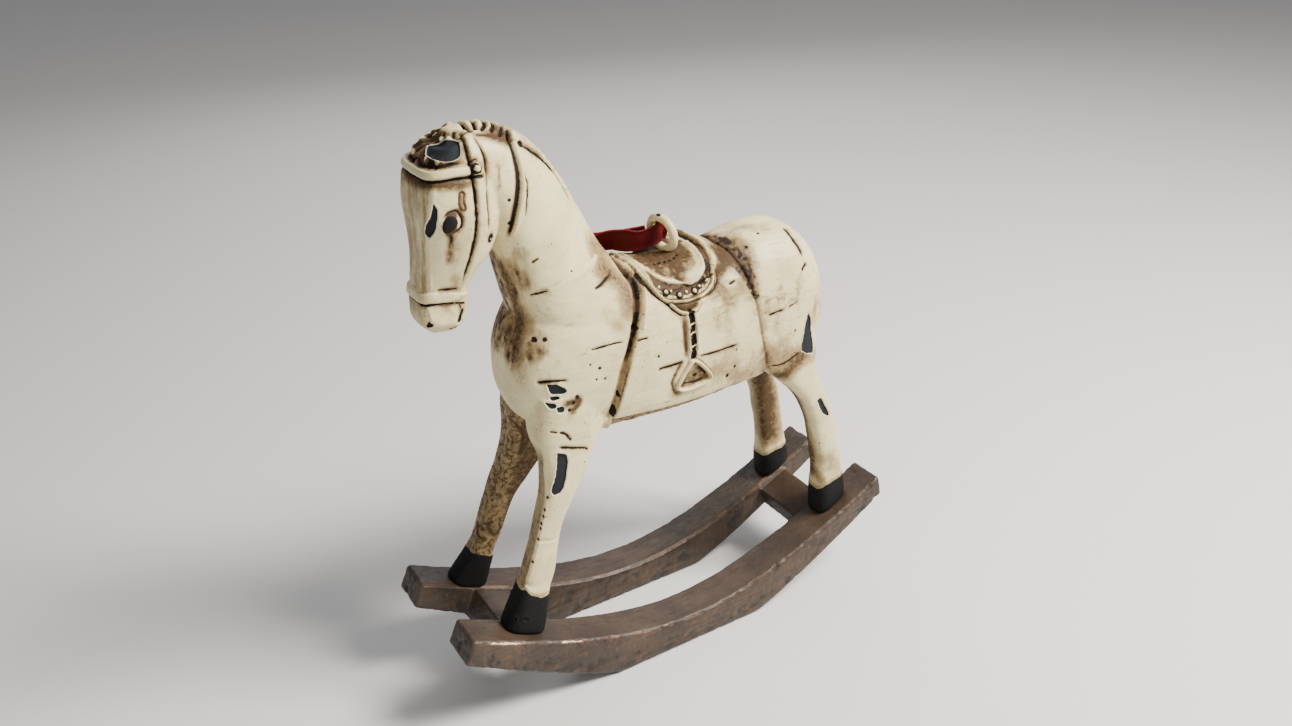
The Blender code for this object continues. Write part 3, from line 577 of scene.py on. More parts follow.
nearForeleg = [
    (-34, 80, -15, 80, -8, 6, 3, 3, 0),
    (-35.6, 71, -17.4, 71, -8.8, 5.8, 3, 3, 0),
    (-34.4, 64.5, -21.6, 64.5, -10.3, 4.6, 3.6, 3.2, 0),
    (-35.2, 57, -25.8, 57, -11.2, 3.8, 3.8, 3.2, 0),
    (-37.8, 49.5, -30.7, 49.5, -11.6, 3.2, 3.8, 3.2, 0),
    (-39.6, 43.5, -32.9, 43.5, -11.7, 3.1, 3.6, 3.2, 0),
    (-42.8, 35.5, -34.9, 35.5, -11.8, 3.3, 3.4, 3.2, 0),
    (-45, 31, -36.8, 31, -11.8, 3.6, 3.4, 3.2, 0),
]

farForeleg = [
    (-34, 80, -15, 80, 8, 6, 3, 3, 0),
    (-34.4, 71, -19, 71, 8.8, 5.8, 3, 3, 0),
    (-34.2, 62.5, -21.4, 62.5, 10.5, 4.8, 3.6, 3.2, 0),
    (-36.2, 54.7, -24.4, 54.7, 11.2, 4.2, 3.8, 3.2, 0),
    (-39.2, 48.4, -29.2, 48.8, 11.6, 3.7, 3.8, 3.2, 0),
    (-42, 42.2, -34.2, 42.6, 11.7, 3.2, 3.6, 3.2, 0),
    (-45.4, 33.8, -38.4, 34.4, 11.8, 3.2, 3.4, 3.2, 0),
    (-48.2, 29.6, -41.2, 30.2, 11.8, 3.5, 3.4, 3.2, 0),
]

hindLeg = [
    (20, 82, 45.2, 82, 7.4, 6.6, 3, 3, 0),
    (27, 71, 45.8, 71, 7.9, 6.4, 3, 3, 0),
    (33.6, 64.5, 45.6, 64.5, 9.4, 5.2, 3, 3, 0),
    (39.4, 58.5, 47.6, 58.5, 10.6, 4, 3.4, 3.2, 0),
    (42.4, 52, 50, 52, 11.4, 3.3, 3.4, 3.2, 0),
    (44, 45, 51.8, 45, 11.7, 3.2, 3.4, 3.2, 0),
    (45.2, 38, 52.9, 38, 11.8, 3.2, 3.4, 3.2, 0),
    (45.7, 31, 53.8, 31, 11.8, 3.6, 3.4, 3.2, 0),
    (45.6, 27.6, 54.2, 28.6, 11.8, 3.8, 3.4, 3.2, 0),
]

ear = [
    (-45.4, 138.6, -41.2, 139.4, 3.6, 1.5, 2.2, 2.2, 0),
    (-44.2, 140.2, -40, 140.8, 3.7, 1.6, 2.2, 2.2, 0),
    (-41.6, 141.4, -38.2, 141.6, 3.8, 1.3, 2.2, 2.2, 0),
    (-38.2, 142, -36.8, 141.5, 3.8, 0.6, 2.2, 2.2, 0),
]

hooves = {
    "halfWidth": 4.0,
    "nearFore": (-49.3, -39.4),  # where the sole begins and ends on its rocker
    "farFore": (-53.1, -44.4),
    "hind": (45.6, 54.8),
    "hindStagger": 1.7,
    # The painted hoof's upper edge, as x and z from front to rear
    "nearForeTop": [(-46.4, 33.4), (-45.4, 34.8), (-44.4, 32.7), (-43.4, 33.5), (-42.4, 31.8), (-40, 30.3),
                    (-36, 30.0)],
    "farForeTop": [(-50, 31.8), (-47.3, 30.9), (-45.4, 30.5), (-42.9, 29.2), (-38, 28.8)],
    "nearHindTop": [(43, 27.6), (45.6, 27.9), (47.0, 29.6), (52.1, 30.6), (56, 31.0)],
    "farHindTop": [(42, 27.2), (44.0, 27.4), (45.7, 28.8), (50.7, 29.4), (55, 29.8)],
}


def sectionRing(row):
    fx, fz, rx, rz, y, half, squareFront, squareRear, taper = row
    angles = 2 * np.pi * np.arange(horse["ring"]) / horse["ring"]
    c, s = np.cos(angles), np.sin(angles)
    power = 2 / np.where(c > 0, squareRear, squareFront)
    u, v = np.copysign(np.abs(c) ** power, c), np.copysign(np.abs(s) ** power, s)
    middle = np.array([(fx + rx) / 2, y, (fz + rz) / 2])
    arm = np.array([(rx - fx) / 2, 0.0, (rz - fz) / 2])
    return middle + arm * u[:, None] + np.array([0.0, half, 0.0]) * (v * (1 + taper * u))[:, None]


def loft(rows):
    rings = [sectionRing(row) for row in smoothRows(rows, horse["steps"])]
    count = horse["ring"]
    faces = []
    for r in range(len(rings) - 1):
        for i in range(count):
            j = (i + 1) % count
            faces.append((r * count + i, r * count + j, (r + 1) * count + j, (r + 1) * count + i))
    faces.append(tuple(range(count - 1, -1, -1)))
    faces.append(tuple((len(rings) - 1) * count + i for i in range(count)))
    return np.vstack(rings), faces


def withHoof(rows, sole, far):
    # A leg's rows, ended by a hoof that flares down to its sole on the rocker
    front, rear = sole
    frontZ, rearZ = (float(rockerTop(x - rockerShift(far))) + gap for x in sole)
    last = rows[-1]
    y, half = last[4], last[5]
    collar = (last[0] * 0.75 + front * 0.25, last[1] * 0.75 + frontZ * 0.25,
              last[2] * 0.8 + rear * 0.2, last[3] * 0.75 + rearZ * 0.25, y, half + 0.25, 3.0, 3.0, 0)
    return rows + [collar, (front, frontZ, rear, rearZ, y, hooves["halfWidth"], 3.0, 3.0, 0)]


def hindRows(far):
    shift = -hooves["hindStagger"] if far else 0.0
    side = 1 if far else -1
    rows = [(r[0] + shift, r[1], r[2] + shift, r[3], side * r[4], *r[5:]) for r in hindLeg]
    return withHoof(rows, tuple(x + shift for x in hooves["hind"]), far)


# Lines carved on both sides, as x, distance from the middle, z
shoulderGroove = [
    (-7.2, 0, 104.6), (-6.8, 2.7, 104.2), (-5.9, 8.5, 100.9), (-7.4, 12.1, 97.1),
    (-9.6, 14, 92.2), (-12.2, 14.7, 86.3), (-14.5, 14.7, 79.7), (-17.2, 13.3, 71.2),
]
hipLine = [
    (20.4, 0, 102.3), (21.1, 5.3, 101.8), (22.7, 11.4, 97.2), (24.3, 14.1, 89.3),
    (26, 14.2, 79.4), (27.6, 13.3, 73.9), (29.2, 12.1, 69),
]
clothRim = [
    (-4.4, 0, 104.4), (-3.8, 5.5, 103.7), (-3.1, 9, 102.2), (-2, 11.6, 98.9), (0.1, 13.5, 96.9),
    (2.5, 13.7, 96), (5.5, 14.1, 95.6), (8.4, 13.7, 95.6), (10.5, 13.5, 96.1), (12.6, 12.4, 96.9),
    (13.8, 11.6, 98.4), (14.3, 10.6, 100.7), (14.9, 6.9, 103.9), (14.7, 3.5, 105), (14.6, 0, 105.2),
]
seatLip = [
    (-3.8, 4.6, 103.9), (-2.9, 8.7, 102.5), (-1.1, 10, 100.6), (0.3, 10.8, 99.6), (2.2, 11.3, 98.7),
    (4.1, 11.8, 98.1), (5.9, 12.1, 97.8), (7.5, 11.9, 98), (9.2, 11.6, 98.5), (10.7, 11.5, 99.4),
    (11.9, 11.2, 100.4), (12.6, 10.3, 101.8), (13.2, 7.6, 103.7), (13.2, 3, 104.8),
]
flap = [
    (0.9, 13.7, 95.6), (1.8, 14.2, 94.5), (2.9, 14.5, 93.4), (4.3, 14.8, 92.8), (5.9, 15, 92.8),
    (7.6, 14.2, 93.1), (8.3, 14.1, 94.4),
]
strapFront = [(4.7, 14.7, 92.3), (4.5, 15.1, 89.8), (4.3, 15.3, 86.9), (4.3, 15.3, 84.2), (4.1, 15.3, 81.6)]
strapRear = [(6.1, 14.7, 92.7), (6.1, 15.1, 89.6), (5.9, 15.3, 86.8), (5.8, 15.3, 84.2), (5.5, 15.3, 81.7)]
stirrupIron = [
    (4.6, 15.2, 80.8), (2.5, 15.2, 78.4), (0.7, 15.1, 75.9), (0.3, 15, 74.6), (2.3, 14.8, 73.6),
    (5.7, 14.8, 73.5), (9.1, 14.8, 74.1), (9.9, 14.9, 75.3), (8.1, 15.1, 77.8), (6.2, 15.2, 80),
    (4.9, 15.2, 80.8),
]
browband = [
    (-40.9, 9.4, 134.9), (-45.4, 9.3, 135.3), (-49.2, 8.9, 135.3), (-51.7, 6.4, 135.2),
    (-52.4, 2.5, 135.2), (-52.6, 0, 135.2),
]
cheekFront = [
    (-42.2, 2.8, 141.8), (-42.4, 6.6, 140.3), (-42.5, 8, 137.8), (-42.6, 9.4, 133.4), (-42.6, 9.8, 129.7),
    (-42.9, 10, 124.9), (-43.4, 9.7, 121.6), (-44.5, 8.8, 117.2), (-45.8, 7.3, 112.9), (-46.6, 6.1, 108.9),
]
cheekRear = [
    (-39.8, 5, 141.4), (-39.9, 6.3, 140.9), (-39.4, 7.1, 139.2), (-38.9, 7.7, 136.8), (-39.2, 8.4, 133.8),
    (-39.8, 9.3, 130.2), (-40, 9.7, 126.5), (-40.3, 9.2, 121.4),
]
faceEdge = [
    (-50.5, 8.5, 134.2), (-51.1, 8.4, 131.1), (-51.9, 8, 127.9), (-52.4, 7.3, 124.6), (-52.6, 6.3, 121),
    (-52.8, 5.7, 117.5), (-52.9, 5.1, 114), (-53.3, 5, 110.6),
]
eyeOutline = [
    (-50.1, 8.6, 124.4), (-49.9, 9, 125.8), (-48.9, 9.5, 126.8), (-47.6, 9.9, 126.6), (-47.1, 9.9, 125.4),
    (-47.5, 9.5, 124.2), (-48.6, 9, 123.4), (-49.8, 8.8, 123.3),
]
throatLash = [
    (-30.9, 2.4, 139.6), (-31.7, 5, 137.8), (-31.6, 6.4, 135.7), (-31.7, 7.7, 132.8), (-32.2, 8.6, 129.8),
    (-33.1, 8.8, 126.7), (-34.3, 8.7, 123.2), (-34.8, 8.3, 121.2), (-35.4, 7.8, 119.5), (-36.1, 7, 117.9),
]
noseband = [
    (-55.2, 0, 108.2), (-55, 4, 108.3), (-53.6, 5.6, 108.4), (-49.6, 6, 107.8),
    (-46, 5.4, 106.8), (-44.4, 3, 106.2), (-44, 0, 106),
]
maneLine = [
    (-41.8, 0, 141.5), (-35.7, 0, 141.4), (-29.5, 0, 137.6), (-24.7, 0, 131.8), (-20.7, 0, 125.6),
    (-17.5, 0, 119.2),
]
rosette = (-41.4, 9.8, 135.4)

# The whittled edge down the near foreleg
knifeEdge = [
    (-34.4, -12.6, 64.6), (-34.5, -12.4, 60.8), (-35.6, -13.5, 54.8), (-37.5, -13.9, 49.2),
    (-38.8, -13.9, 44.9), (-40.9, -13.9, 39.1), (-42.5, -13.9, 35.5),
]


def horseSkin():
    # All the forms joined into one closed fine skin, without carving
    everything = list(forms.values()) + [ear, [(*r[:4], -r[4], *r[5:]) for r in ear]]
    everything += [hindRows(False), hindRows(True),
                   withHoof(nearForeleg, hooves["nearFore"], False),
                   withHoof(farForeleg, hooves["farFore"], True)]
    points, faces = [], []
    start = 0
    for rows in everything:
        more, sides = loft(rows)
        points.append(more)
        faces += [tuple(start + i for i in face) for face in sides]
        start += len(more)
    skin = addObject("painted_horse", np.vstack(points), faces)
    refine(skin, horse["voxel"], horse["soften"])
    return skin


class Surface:
    # The horse's skin as numbers: what is carved, and the masks that its paint follows

    def __init__(self, mesh):
        self.normals = readPlaces(mesh, "normal")
        self.near = readPlaces(mesh) / mm
        self.both = self.near * (1, 0, 1) + np.abs(self.near) * (0, 1, 0)
        faces = [tuple(face.vertices) for face in mesh.polygons]
        self.tree = BVHTree.FromPolygons(self.near.tolist(), faces)
        count = len(self.near)
        self.lift, self.stain, self.dark = np.zeros(count), np.zeros(count), np.zeros(count)
        self.chip, self.hoof = np.full(count, -farOut), np.full(count, -farOut)

    def laid(self, path, mirrored):
        # The line as a fine curve that lies on the skin
        path = evenRows(smoothRows(path, 8), 0.6)[0] if len(path) > 1 else np.array(path, float)
        out = []
        for x, y, z in path:
            found = self.tree.find_nearest((x, -y if mirrored else y, z))[0]
            out.append((found[0], abs(found[1]) if mirrored else found[1], found[2]))
        return np.array(out)

    def measure(self, path, reach, mirrored=True):
        # The points within reach of a line, their distance to it, and how far along it they are from 0 to 1
        line = self.laid(path, mirrored)
        points = self.both if mirrored else self.near
        low, high = line.min(0) - reach, line.max(0) + reach
        close = np.flatnonzero(((points > low) & (points < high)).all(1))
        some = points[close]
        best, where = np.full(len(close), np.inf), np.zeros(len(close))
        if len(line) == 1:
            best = np.linalg.norm(some - line[0], axis=1)
        for i, (start, run) in enumerate(zip(line[:-1], np.diff(line, axis=0))):
            along = np.clip((some - start) @ run / max(run @ run, 1e-9), 0, 1)
            far = np.linalg.norm(some - start - along[:, None] * run, axis=1)
            better = far < best
            best[better], where[better] = far[better], (i + along[better]) / (len(line) - 1)
        keep = best < reach
        return close[keep], best[keep], where[keep]

    def brown(self, amount, at=slice(None)):
        self.stain[at] = np.maximum(self.stain[at], amount)

    def black(self, amount, at=slice(None)):
        self.dark[at] = np.maximum(self.dark[at], amount)

    def browning(self, path, radius, strength, mirrored=False):
        # Brown, strongest on the line: a brown wash, and painted shade where noted
        at, far, _ = self.measure(path, radius * 2, mirrored)
        self.stain[at] = 1 - (1 - self.stain[at]) * (1 - strength * bell(far, radius))

    def cut(self, path, half, depth, browning=1.0, dark=0.8, mirrored=True, taper=True, spread=2.2):
        # A groove that runs out at both ends, with brown in it
        at, far, where = self.measure(path, half * 4 + spread, mirrored)
        far = np.maximum(far + 0.25 * half * unevenness(self.near[at], 1.1, 21), 0)
        ends = 1 - np.abs(2 * where - 1) ** 6 if taper else 1.0
        deep = bell(far, half) * ends
        self.lift[at] -= depth * deep
        brown = np.maximum(deep, 0.5 * bell(far, half * spread) * ends)
        self.stain[at] = 1 - (1 - self.stain[at]) * (1 - browning * brown)
        self.black(dark * bell(far, half * 0.8) * ends, at)

    def cord(self, path, half, height, moat=0.0, browning=0.0, mirrored=True, flat=0.45):
        # A raised line, rounded or flat, with a moat and brown wash along both its sides
        at, far, _ = self.measure(path, half + 2.5, mirrored)
        self.lift[at] += height * (1 - ramp(far, half * flat, half * 1.1))
        self.lift[at] -= moat * bell(far - half * 1.35, half * 0.4)
        self.stain[at] *= ramp(far, half * 0.8, half * 1.2) * 0.8 + 0.2
        self.dark[at] *= ramp(far, half * 0.8, half * 1.1)
        self.brown(browning * bell(far - half * 1.5, half * 0.7), at)

    def bump(self, place, radius, height, mirrored=True, browning=0.0):
        at, far, _ = self.measure([place], radius * 2.5, mirrored)
        self.lift[at] += height * np.sqrt(np.clip(1 - (far / radius) ** 2, 0, 1))
        self.stain[at] = np.maximum(self.stain[at] * ramp(far, radius * 0.4, radius),
                                    browning * bell(far - radius * 1.15, radius * 0.35))
        self.dark[at] *= ramp(far, radius * 0.5, radius)

    def pit(self, place, radius, depth, dark=1.0, mirrored=True, stretch=(1, 1, 1)):
        at, _, _ = self.measure([place], radius * 4, mirrored)
        points = (self.both if mirrored else self.near)[at]
        far = np.linalg.norm((points - self.laid([place], mirrored)[0]) * stretch, axis=1)
        self.lift[at] -= depth * (1 - ramp(far, radius * 0.5, radius * 1.2))
        self.black(dark * (1 - ramp(far, radius * 0.8, radius * 1.15)), at)
        self.brown(0.7 * bell(far, radius * 1.5), at)

    def within(self, outline, mirrored):
        # The points near a closed outline, and how far inside it they are
        outline = self.laid(np.vstack([outline, outline[:1]]), mirrored)
        points = self.both if mirrored else self.near
        middle = outline.mean(0)
        _, _, axes = np.linalg.svd(outline - middle)
        at = np.flatnonzero(np.linalg.norm(points - middle, axis=1)
                            < np.linalg.norm(outline - middle, axis=1).max() + 2.5)
        local = (points[at] - middle) @ axes.T
        flat = (outline - middle) @ axes.T
        far, inside = np.full(len(at), np.inf), np.zeros(len(at), bool)
        for a, b in zip(flat[:-1, :2], flat[1:, :2]):
            run = b - a
            along = np.clip((local[:, :2] - a) @ run / max(run @ run, 1e-9), 0, 1)
            far = np.minimum(far, np.linalg.norm(local[:, :2] - a - along[:, None] * run, axis=1))
            span = (local[:, 1] < a[1]) != (local[:, 1] < b[1])
            height = run[1] if abs(run[1]) > 1e-9 else 1e-9
            inside ^= span & (local[:, 0] < a[0] + (local[:, 1] - a[1]) / height * run[0])
        return at, np.where(np.abs(local[:, 2]) < 3.0, np.where(inside, far, -far), -farOut)

    def flake(self, outline, wobble=0.14):
        # A place where the paint has come off
        at, far = self.within(outline, False)
        far = far + wobble * unevenness(self.near[at], 0.7, 31)
        level = np.median(self.lift[at][far > -0.4])
        self.lift[at] += (level - self.lift[at]) * ramp(far, -0.5, -0.2)
        self.lift[at] -= horse["chipDepth"] * ramp(far, -0.1, 0.12)
        self.lift[at] += horse["chipLip"] * bell(far + 0.2, 0.16)
        self.chip[at] = np.maximum(self.chip[at], np.clip(far, -farOut, farOut))


body = {
    "foot": (66, 68),  # heights between which the trunk's carving sets in
    "top": 106,
    "clothTop": 107,
    "belly": [(-17, 0, 71.2), (-6, 0, 70.2), (2, 0, 69.6), (15, 0, 69.4), (20, 0, 68.8), (27, 0, 68.4)],
    "bellyFront": -17,
    "bellyRear": 26.6,
    "bellySlope": 0.9,  # how far the underside lies below the panel
    "throatFront": -41,
    "throatRear": -29.5,
    "throatHeights": (84, 92, 116),
    # The groove's double line further down: shift, half width, depth, dark
    "doubleLine": ((-0.9, 0.24, 0.2, 0.8), (0.8, 0.2, 0.15, 0.6)),
    # Place and radius
    "groovePits": [((-15.1, 13.8, 77.4), 0.5), ((-16.234, 13.8, 73.2), 0.8), ((-16.504, 13.8, 72.2), 0.7)],
    "deepPit": ((-9.4, 13.9, 92.6), 0.85),
    "hipTop": [(20.6, 0, 103.4), (21.4, 5.3, 102), (23, 11.4, 97.6), (24.6, 13.4, 92)],
    "pinholes": 80,
    "pinholesFrom": (-30, 70),  # x and z
    "pinholesTo": (42, 102),
    "pinholesOut": 16,  # beside the skin, which is never far from there
    "streaksFrom": (6, 16),
    "streaksFoot": (66, 70),
    "streaksTop": 101,
    # Brown washes on one side or the other, some of them painted shade as noted: line, radius, strength
    "washesAndShade": [
        # These two: brown down the front of the chest, brown wash together with painted shade where it faces
        # away from the light
        ([(-35.5, -3, 110), (-36, -5, 100), (-35.5, -6, 90)], 3.4, 0.85),
        ([(-35.5, 3, 110), (-36, 4, 100), (-35, 5, 90)], 3.6, 0.6),
        ([(-36.4, -8.1, 135.4), (-36.5, -8.4, 132.9), (-36.7, -8.5, 129.6)], 0.5, 0.85),
        ([(-38.4, -8.1, 135.8), (-38.4, -8.6, 128)], 0.9, 0.35),
        ([(-34.4, -8.4, 136), (-34.4, -8.6, 126)], 0.8, 0.3),
        ([(-14, -7, 105.5), (-10, -8, 101), (-9, -12, 97)], 3.6, 0.75),
        ([(-16, -3, 110), (-9, 0, 106), (-4, 3, 103)], 4.0, 0.6),
        ([(-31, 0, 138), (-26, -3, 133)], 2.2, 0.35),
        ([(-33.5, -2.5, 139.5), (-31.5, -4.8, 137.5), (-35.5, -5, 140)], 1.7, 0.9),
        ([(20.5, -2, 103), (21.5, -7, 101), (23.5, -12, 96)], 3.0, 0.97),
        ([(20.5, 2, 103), (21.5, 7, 101), (23.5, 12, 96)], 3.2, 0.85),
        ([(18.2, -6.1, 102.9), (18.5, -8.9, 100.3), (16.4, -10.5, 99.6)], 2.0, 1.0),
        ([(22, -2, 103.6), (25, -6, 103), (25.5, -10, 99.5)], 2.6, 0.7),
        ([(-16, -12, 98), (-13.5, -12.6, 93.5)], 2.2, 0.4),
        ([(28, 0, 105), (33, -4, 104.6)], 3.4, 0.45),
        ([(24.6, -13.4, 92), (26.4, -14.2, 80), (28, -13.5, 72)], 1.7, 0.5),
        ([(30.5, -14, 83), (33, -14, 76)], 3.2, 0.35),
        ([(31.5, -13.5, 66.5), (38.5, -14.4, 71)], 3.2, 0.85),
        ([(27.5, -14, 74), (33, -14, 73)], 3.2, 0.5),
        # Brown down the near hind leg's front inner edge: painted shade
        ([(38, -9, 62), (42, -9.5, 52), (44, -9.5, 42), (45, -9.6, 33)], 2.8, 0.85),
        ([(15, -14.5, 96), (17, -13.5, 92)], 2.3, 0.7),
        ([(15, -15, 88), (16, -15, 80)], 2.8, 0.35),
        ([(12, -15, 76), (20, -14.5, 72)], 4.0, 0.55),
        ([(-8, -15, 68.5), (20, -14, 68)], 1.5, 0.5),
        ([(-28.2, -13.9, 78.8), (-24.9, -14.1, 79), (-26.6, -14.2, 77)], 1.1, 1.0),
        ([(-27.5, -14, 76.6), (-27.8, -14.2, 74.6)], 1.0, 0.45),
        ([(-20, -14.8, 74), (-16.6, -13.6, 72)], 1.8, 0.35),
        ([(-31.5, -11, 95), (-33.5, -8, 97)], 2.2, 0.45),
        ([(-30, -12.5, 90), (-34, -9, 84)], 3.0, 0.22),
        ([(44, -13, 86), (41, -14, 73)], 2.8, 0.35),
        ([(47, -5, 93), (48.5, -6.6, 80), (47, -7, 68)], 2.4, 0.4),
        ([(47, 5, 93), (48.5, 6.6, 80), (47, 7, 68)], 2.4, 0.4),
        ([(47.5, -12, 40), (50, -12, 33)], 4.0, 0.45),
        ([(43, -11, 33), (46, -15, 31)], 1.6, 0.5),
        # Brown over the far hind leg's front: painted shade with brown wash
        ([(37, 5, 66), (44, 9, 50), (46, 10, 35)], 5.4, 0.92),
        ([(44, 15, 60), (46, 15, 40)], 3.0, 0.5),
        # Brown on the near hind leg's upper inner side: painted shade
        ([(36, -6, 66), (42, -7.5, 56)], 3.6, 0.75),
        # Brown down the near foreleg's inner side: painted shade
        ([(-36.5, -8.2, 62), (-39.5, -8.6, 48), (-43, -8.8, 36)], 2.6, 0.4),
        ([(-48.9, -8.9, 123), (-48.5, -8.8, 121.7), (-48.8, -8.1, 119), (-49.1, -7.5, 116.5)], 1.0, 0.8),
        ([(-47, -8.4, 119), (-48, -7, 113)], 1.6, 0.25),
        ([(-45.5, -9.5, 131), (-46.2, -9.5, 126)], 0.9, 0.7),
        ([(-52, -5, 133), (-47, -9, 132.6), (-43.4, -9.4, 132.4)], 0.9, 0.65),
        ([(-49.5, -2, 138), (-46, -7, 138.6), (-45.6, 2, 140)], 3.4, 0.95),
        ([(-50, 4, 137), (-46, 6, 139)], 3.0, 0.8),
        ([(-48, -5.5, 112), (-46.5, -5.5, 104.5)], 1.4, 0.45),
        ([(-54.8, -3.5, 104), (-54, 0, 101)], 1.4, 0.3),
        ([(-30, -10.8, 106), (-20, -10.5, 107.5)], 1.0, 0.3),
        ([(16, 14.6, 96), (12, 15, 76)], 4.0, 0.4),
        ([(-26, 13.8, 80), (-22, 14.4, 90)], 4.5, 0.35),
        ([(-30, 9.5, 112), (-26, 9.5, 124)], 4.0, 0.25),
        ([(38, 13.8, 88), (42, 13.8, 74)], 4.0, 0.4),
    ],
}


def carveBody(s):
    x, z = s.near[:, 0], s.near[:, 2]
    trunk = ramp(z, *body["foot"]) * (z < body["top"])
    behind, ahead = x - lineAt(shoulderGroove, z, 2, 0), lineAt(hipLine, z, 2, 0) - x
    s.lift += horse["panelRaise"] * ramp(behind, 0, 0.5) * ramp(ahead, -0.2, 0.3) * trunk
    above = z - lineAt(clothRim[:-2], x, left=np.inf, right=np.inf)
    s.lift += horse["clothRaise"] * ramp(above, -0.2, 0.3) * (z < body["clothTop"])
    # Broad washes, some of them painted shade, come first, so that what is raised later can be wiped clean
    for path, radius, strength in body["washesAndShade"]:
        s.browning(path, radius, strength)
    # Brown mottling down the front of the neck where it faces forward, brown wash together with painted
    # shade, and streaks that ran down the rear half
    crumbs = unevenness(s.near, 1.0, 51) + 0.5 * unevenness(s.near, 0.5, 52)
    ragged = 3.0 * unevenness(s.near, 4.0, 60)
    low, high, top = body["throatHeights"]
    throat = ramp(body["throatRear"] - x + ragged, 0, 5) * (x > body["throatFront"])
    throat *= ramp(z + ragged, low, high) * ramp(top - z + ragged, 0, 4) * ramp(0.4 - s.normals[:, 0], 0, 0.6)
    runs = unevenness(s.near * (1, 1, 0.4), 0.9, 57) + 0.4 * crumbs
    s.brown(throat * np.clip(0.72 + 0.3 * runs, 0, 1))
    s.black(0.7 * throat * ramp(runs, 0.45, 0.8))
    streaks = ramp(unevenness(s.near * (1, 1, 0.13), 0.75, 53), -0.25, 0.3)
    rear = ramp(x, *body["streaksFrom"]) * ramp(z, *body["streaksFoot"]) * ramp(body["streaksTop"] - z, 0, 6)
    rear *= ramp(unevenness(s.near, 7, 54), -0.6, 0.4)
    s.brown(0.6 * rear * streaks)
    sunken = ramp(unevenness(s.near * (0.16, 1, 1), 0.6, 55), 0.1, 0.6)
    s.lift -= 0.05 * sunken * trunk
    s.brown(0.26 * sunken * trunk * ramp(unevenness(s.near, 6, 56), -0.2, 0.5))
    # The underside below the belly line, browned as painted shade with some mottled wash, and sunk below the
    # panel
    under = ramp(lineAt(body["belly"], x) - z, -0.1, 0.3) * (z > body["foot"][0] - 6)
    under *= ramp(x - body["bellyFront"], 0, 1) * ramp(body["bellyRear"] - x, 0, 0.5)
    s.brown(under * (0.7 + 0.2 * crumbs))
    s.lift -= under * (body["bellySlope"] + 0.15 * crumbs)
    # The shoulder groove: wide and deep at the withers, a double line further down
    groove, far, where = s.measure(shoulderGroove, 5)
    wide = 1.5 - 0.75 * ramp(where, 0.15, 0.6)
    s.lift[groove] -= horse["grooveDepth"] * (0.95 - 0.25 * where) * bell(far, wide)
    s.brown(bell(far, wide * 1.1) * (1 - 0.45 * ramp(where, 0.6, 0.7)), groove)
    blackened = ramp(where, 0.06, 0.2) * ramp(0.66 - where, 0, 0.08)
    blackened *= ramp(unevenness(s.near[groove], 1.1, 12), -0.8, 0.1)
    s.black(bell(far, wide * 0.6) * blackened, groove)
    s.brown(0.45 * bell(far, wide * 2.6) * (1 - ramp(where, 0.1, 0.45)), groove)
    s.cord(moved(shoulderGroove[1:5], 1.9, 0.2), 0.45, 0.35)
    for shift, half, depth, dark in body["doubleLine"]:
        s.cut(moved(shoulderGroove[5:], shift), half, depth, browning=0.9, dark=dark)
    for place, size in body["groovePits"]:
        s.pit(place, size, 0.2, stretch=(1.5, 1, 0.6))
    s.pit(*body["deepPit"], 0.4)
    # The rear edge of the barrel, worn and pitted at its top
    s.cut(hipLine, 0.45, 0.45, browning=0.35, dark=0.0, taper=False)
    s.cut(hipLine[:4], 0.5, 0.1, dark=0.7, spread=2.8)
    rough, far, where = s.measure(body["hipTop"], 7)
    worn = bell(far, 3.6 - 2.0 * where) * (0.8 + 0.2 * (s.near[rough][:, 1] < 0))
    s.brown(worn * np.clip(0.85 + 0.4 * crumbs[rough], 0, 1), rough)
    patches = unevenness(s.near[rough], 1.7, 58) + 0.7 * unevenness(s.near[rough], 0.6, 59)
    s.black(0.58 * ramp(worn, 0.1, 0.5) * ramp(patches, -0.35, 0.15), rough)
    s.lift[rough] -= 0.2 * ramp(worn, 0.2, 0.7) * ramp(patches, 0.0, 0.5)
    chance = np.random.default_rng(7)
    (front, foot), (back, top), out = body["pinholesFrom"], body["pinholesTo"], body["pinholesOut"]
    for _ in range(body["pinholes"]):
        place = (chance.uniform(front, back), chance.choice([-out, out]), chance.uniform(foot, top))
        s.pit(place, chance.uniform(0.12, 0.26), 0.08, dark=0.8, mirrored=False,
              stretch=(chance.uniform(0.5, 1.6), 1, 1.2))


saddle = {
    "middle": [(-3, 3, 103.5), (5, 3, 102.4), (14, 3, 104)],
    "reach": 13,
    "bandFrom": -3,
    "bandTo": 14.6,
    "seatFrom": -3.4,
    "seatTo": 13.4,
    "bandDepth": 0.5,
    "strapGap": 0.5,
    "stitches": [(1.6, 4.6, 101.8), (2.8, 4.8, 101.8), (4.2, 5, 101.8), (5.4, 5.2, 101.8), (6.8, 5.2, 102),
                 (8, 4.6, 102)],
    "beads": [(0.5, 11.9, 98.3), (3.7, 12.6, 96.9), (7.9, 12.6, 96.9), (12, 11.6, 98)],
    "smallBeads": [(1.9, 11.8, 98.2), (5.7, 12.3, 97.1), (9.6, 12, 97.6), (10.4, 12.1, 97.4),
                   (11.4, 11.4, 99.2), (-0.7, 11, 99.7)],
    "grit": [(-1, 11, 99), (3.7, 12.6, 97), (8, 12.6, 97), (12.6, 11.4, 98.6), (13.6, 10, 101)],
    "twists": (89.2, 87, 83.8),  # heights where the leather's strips cross
}


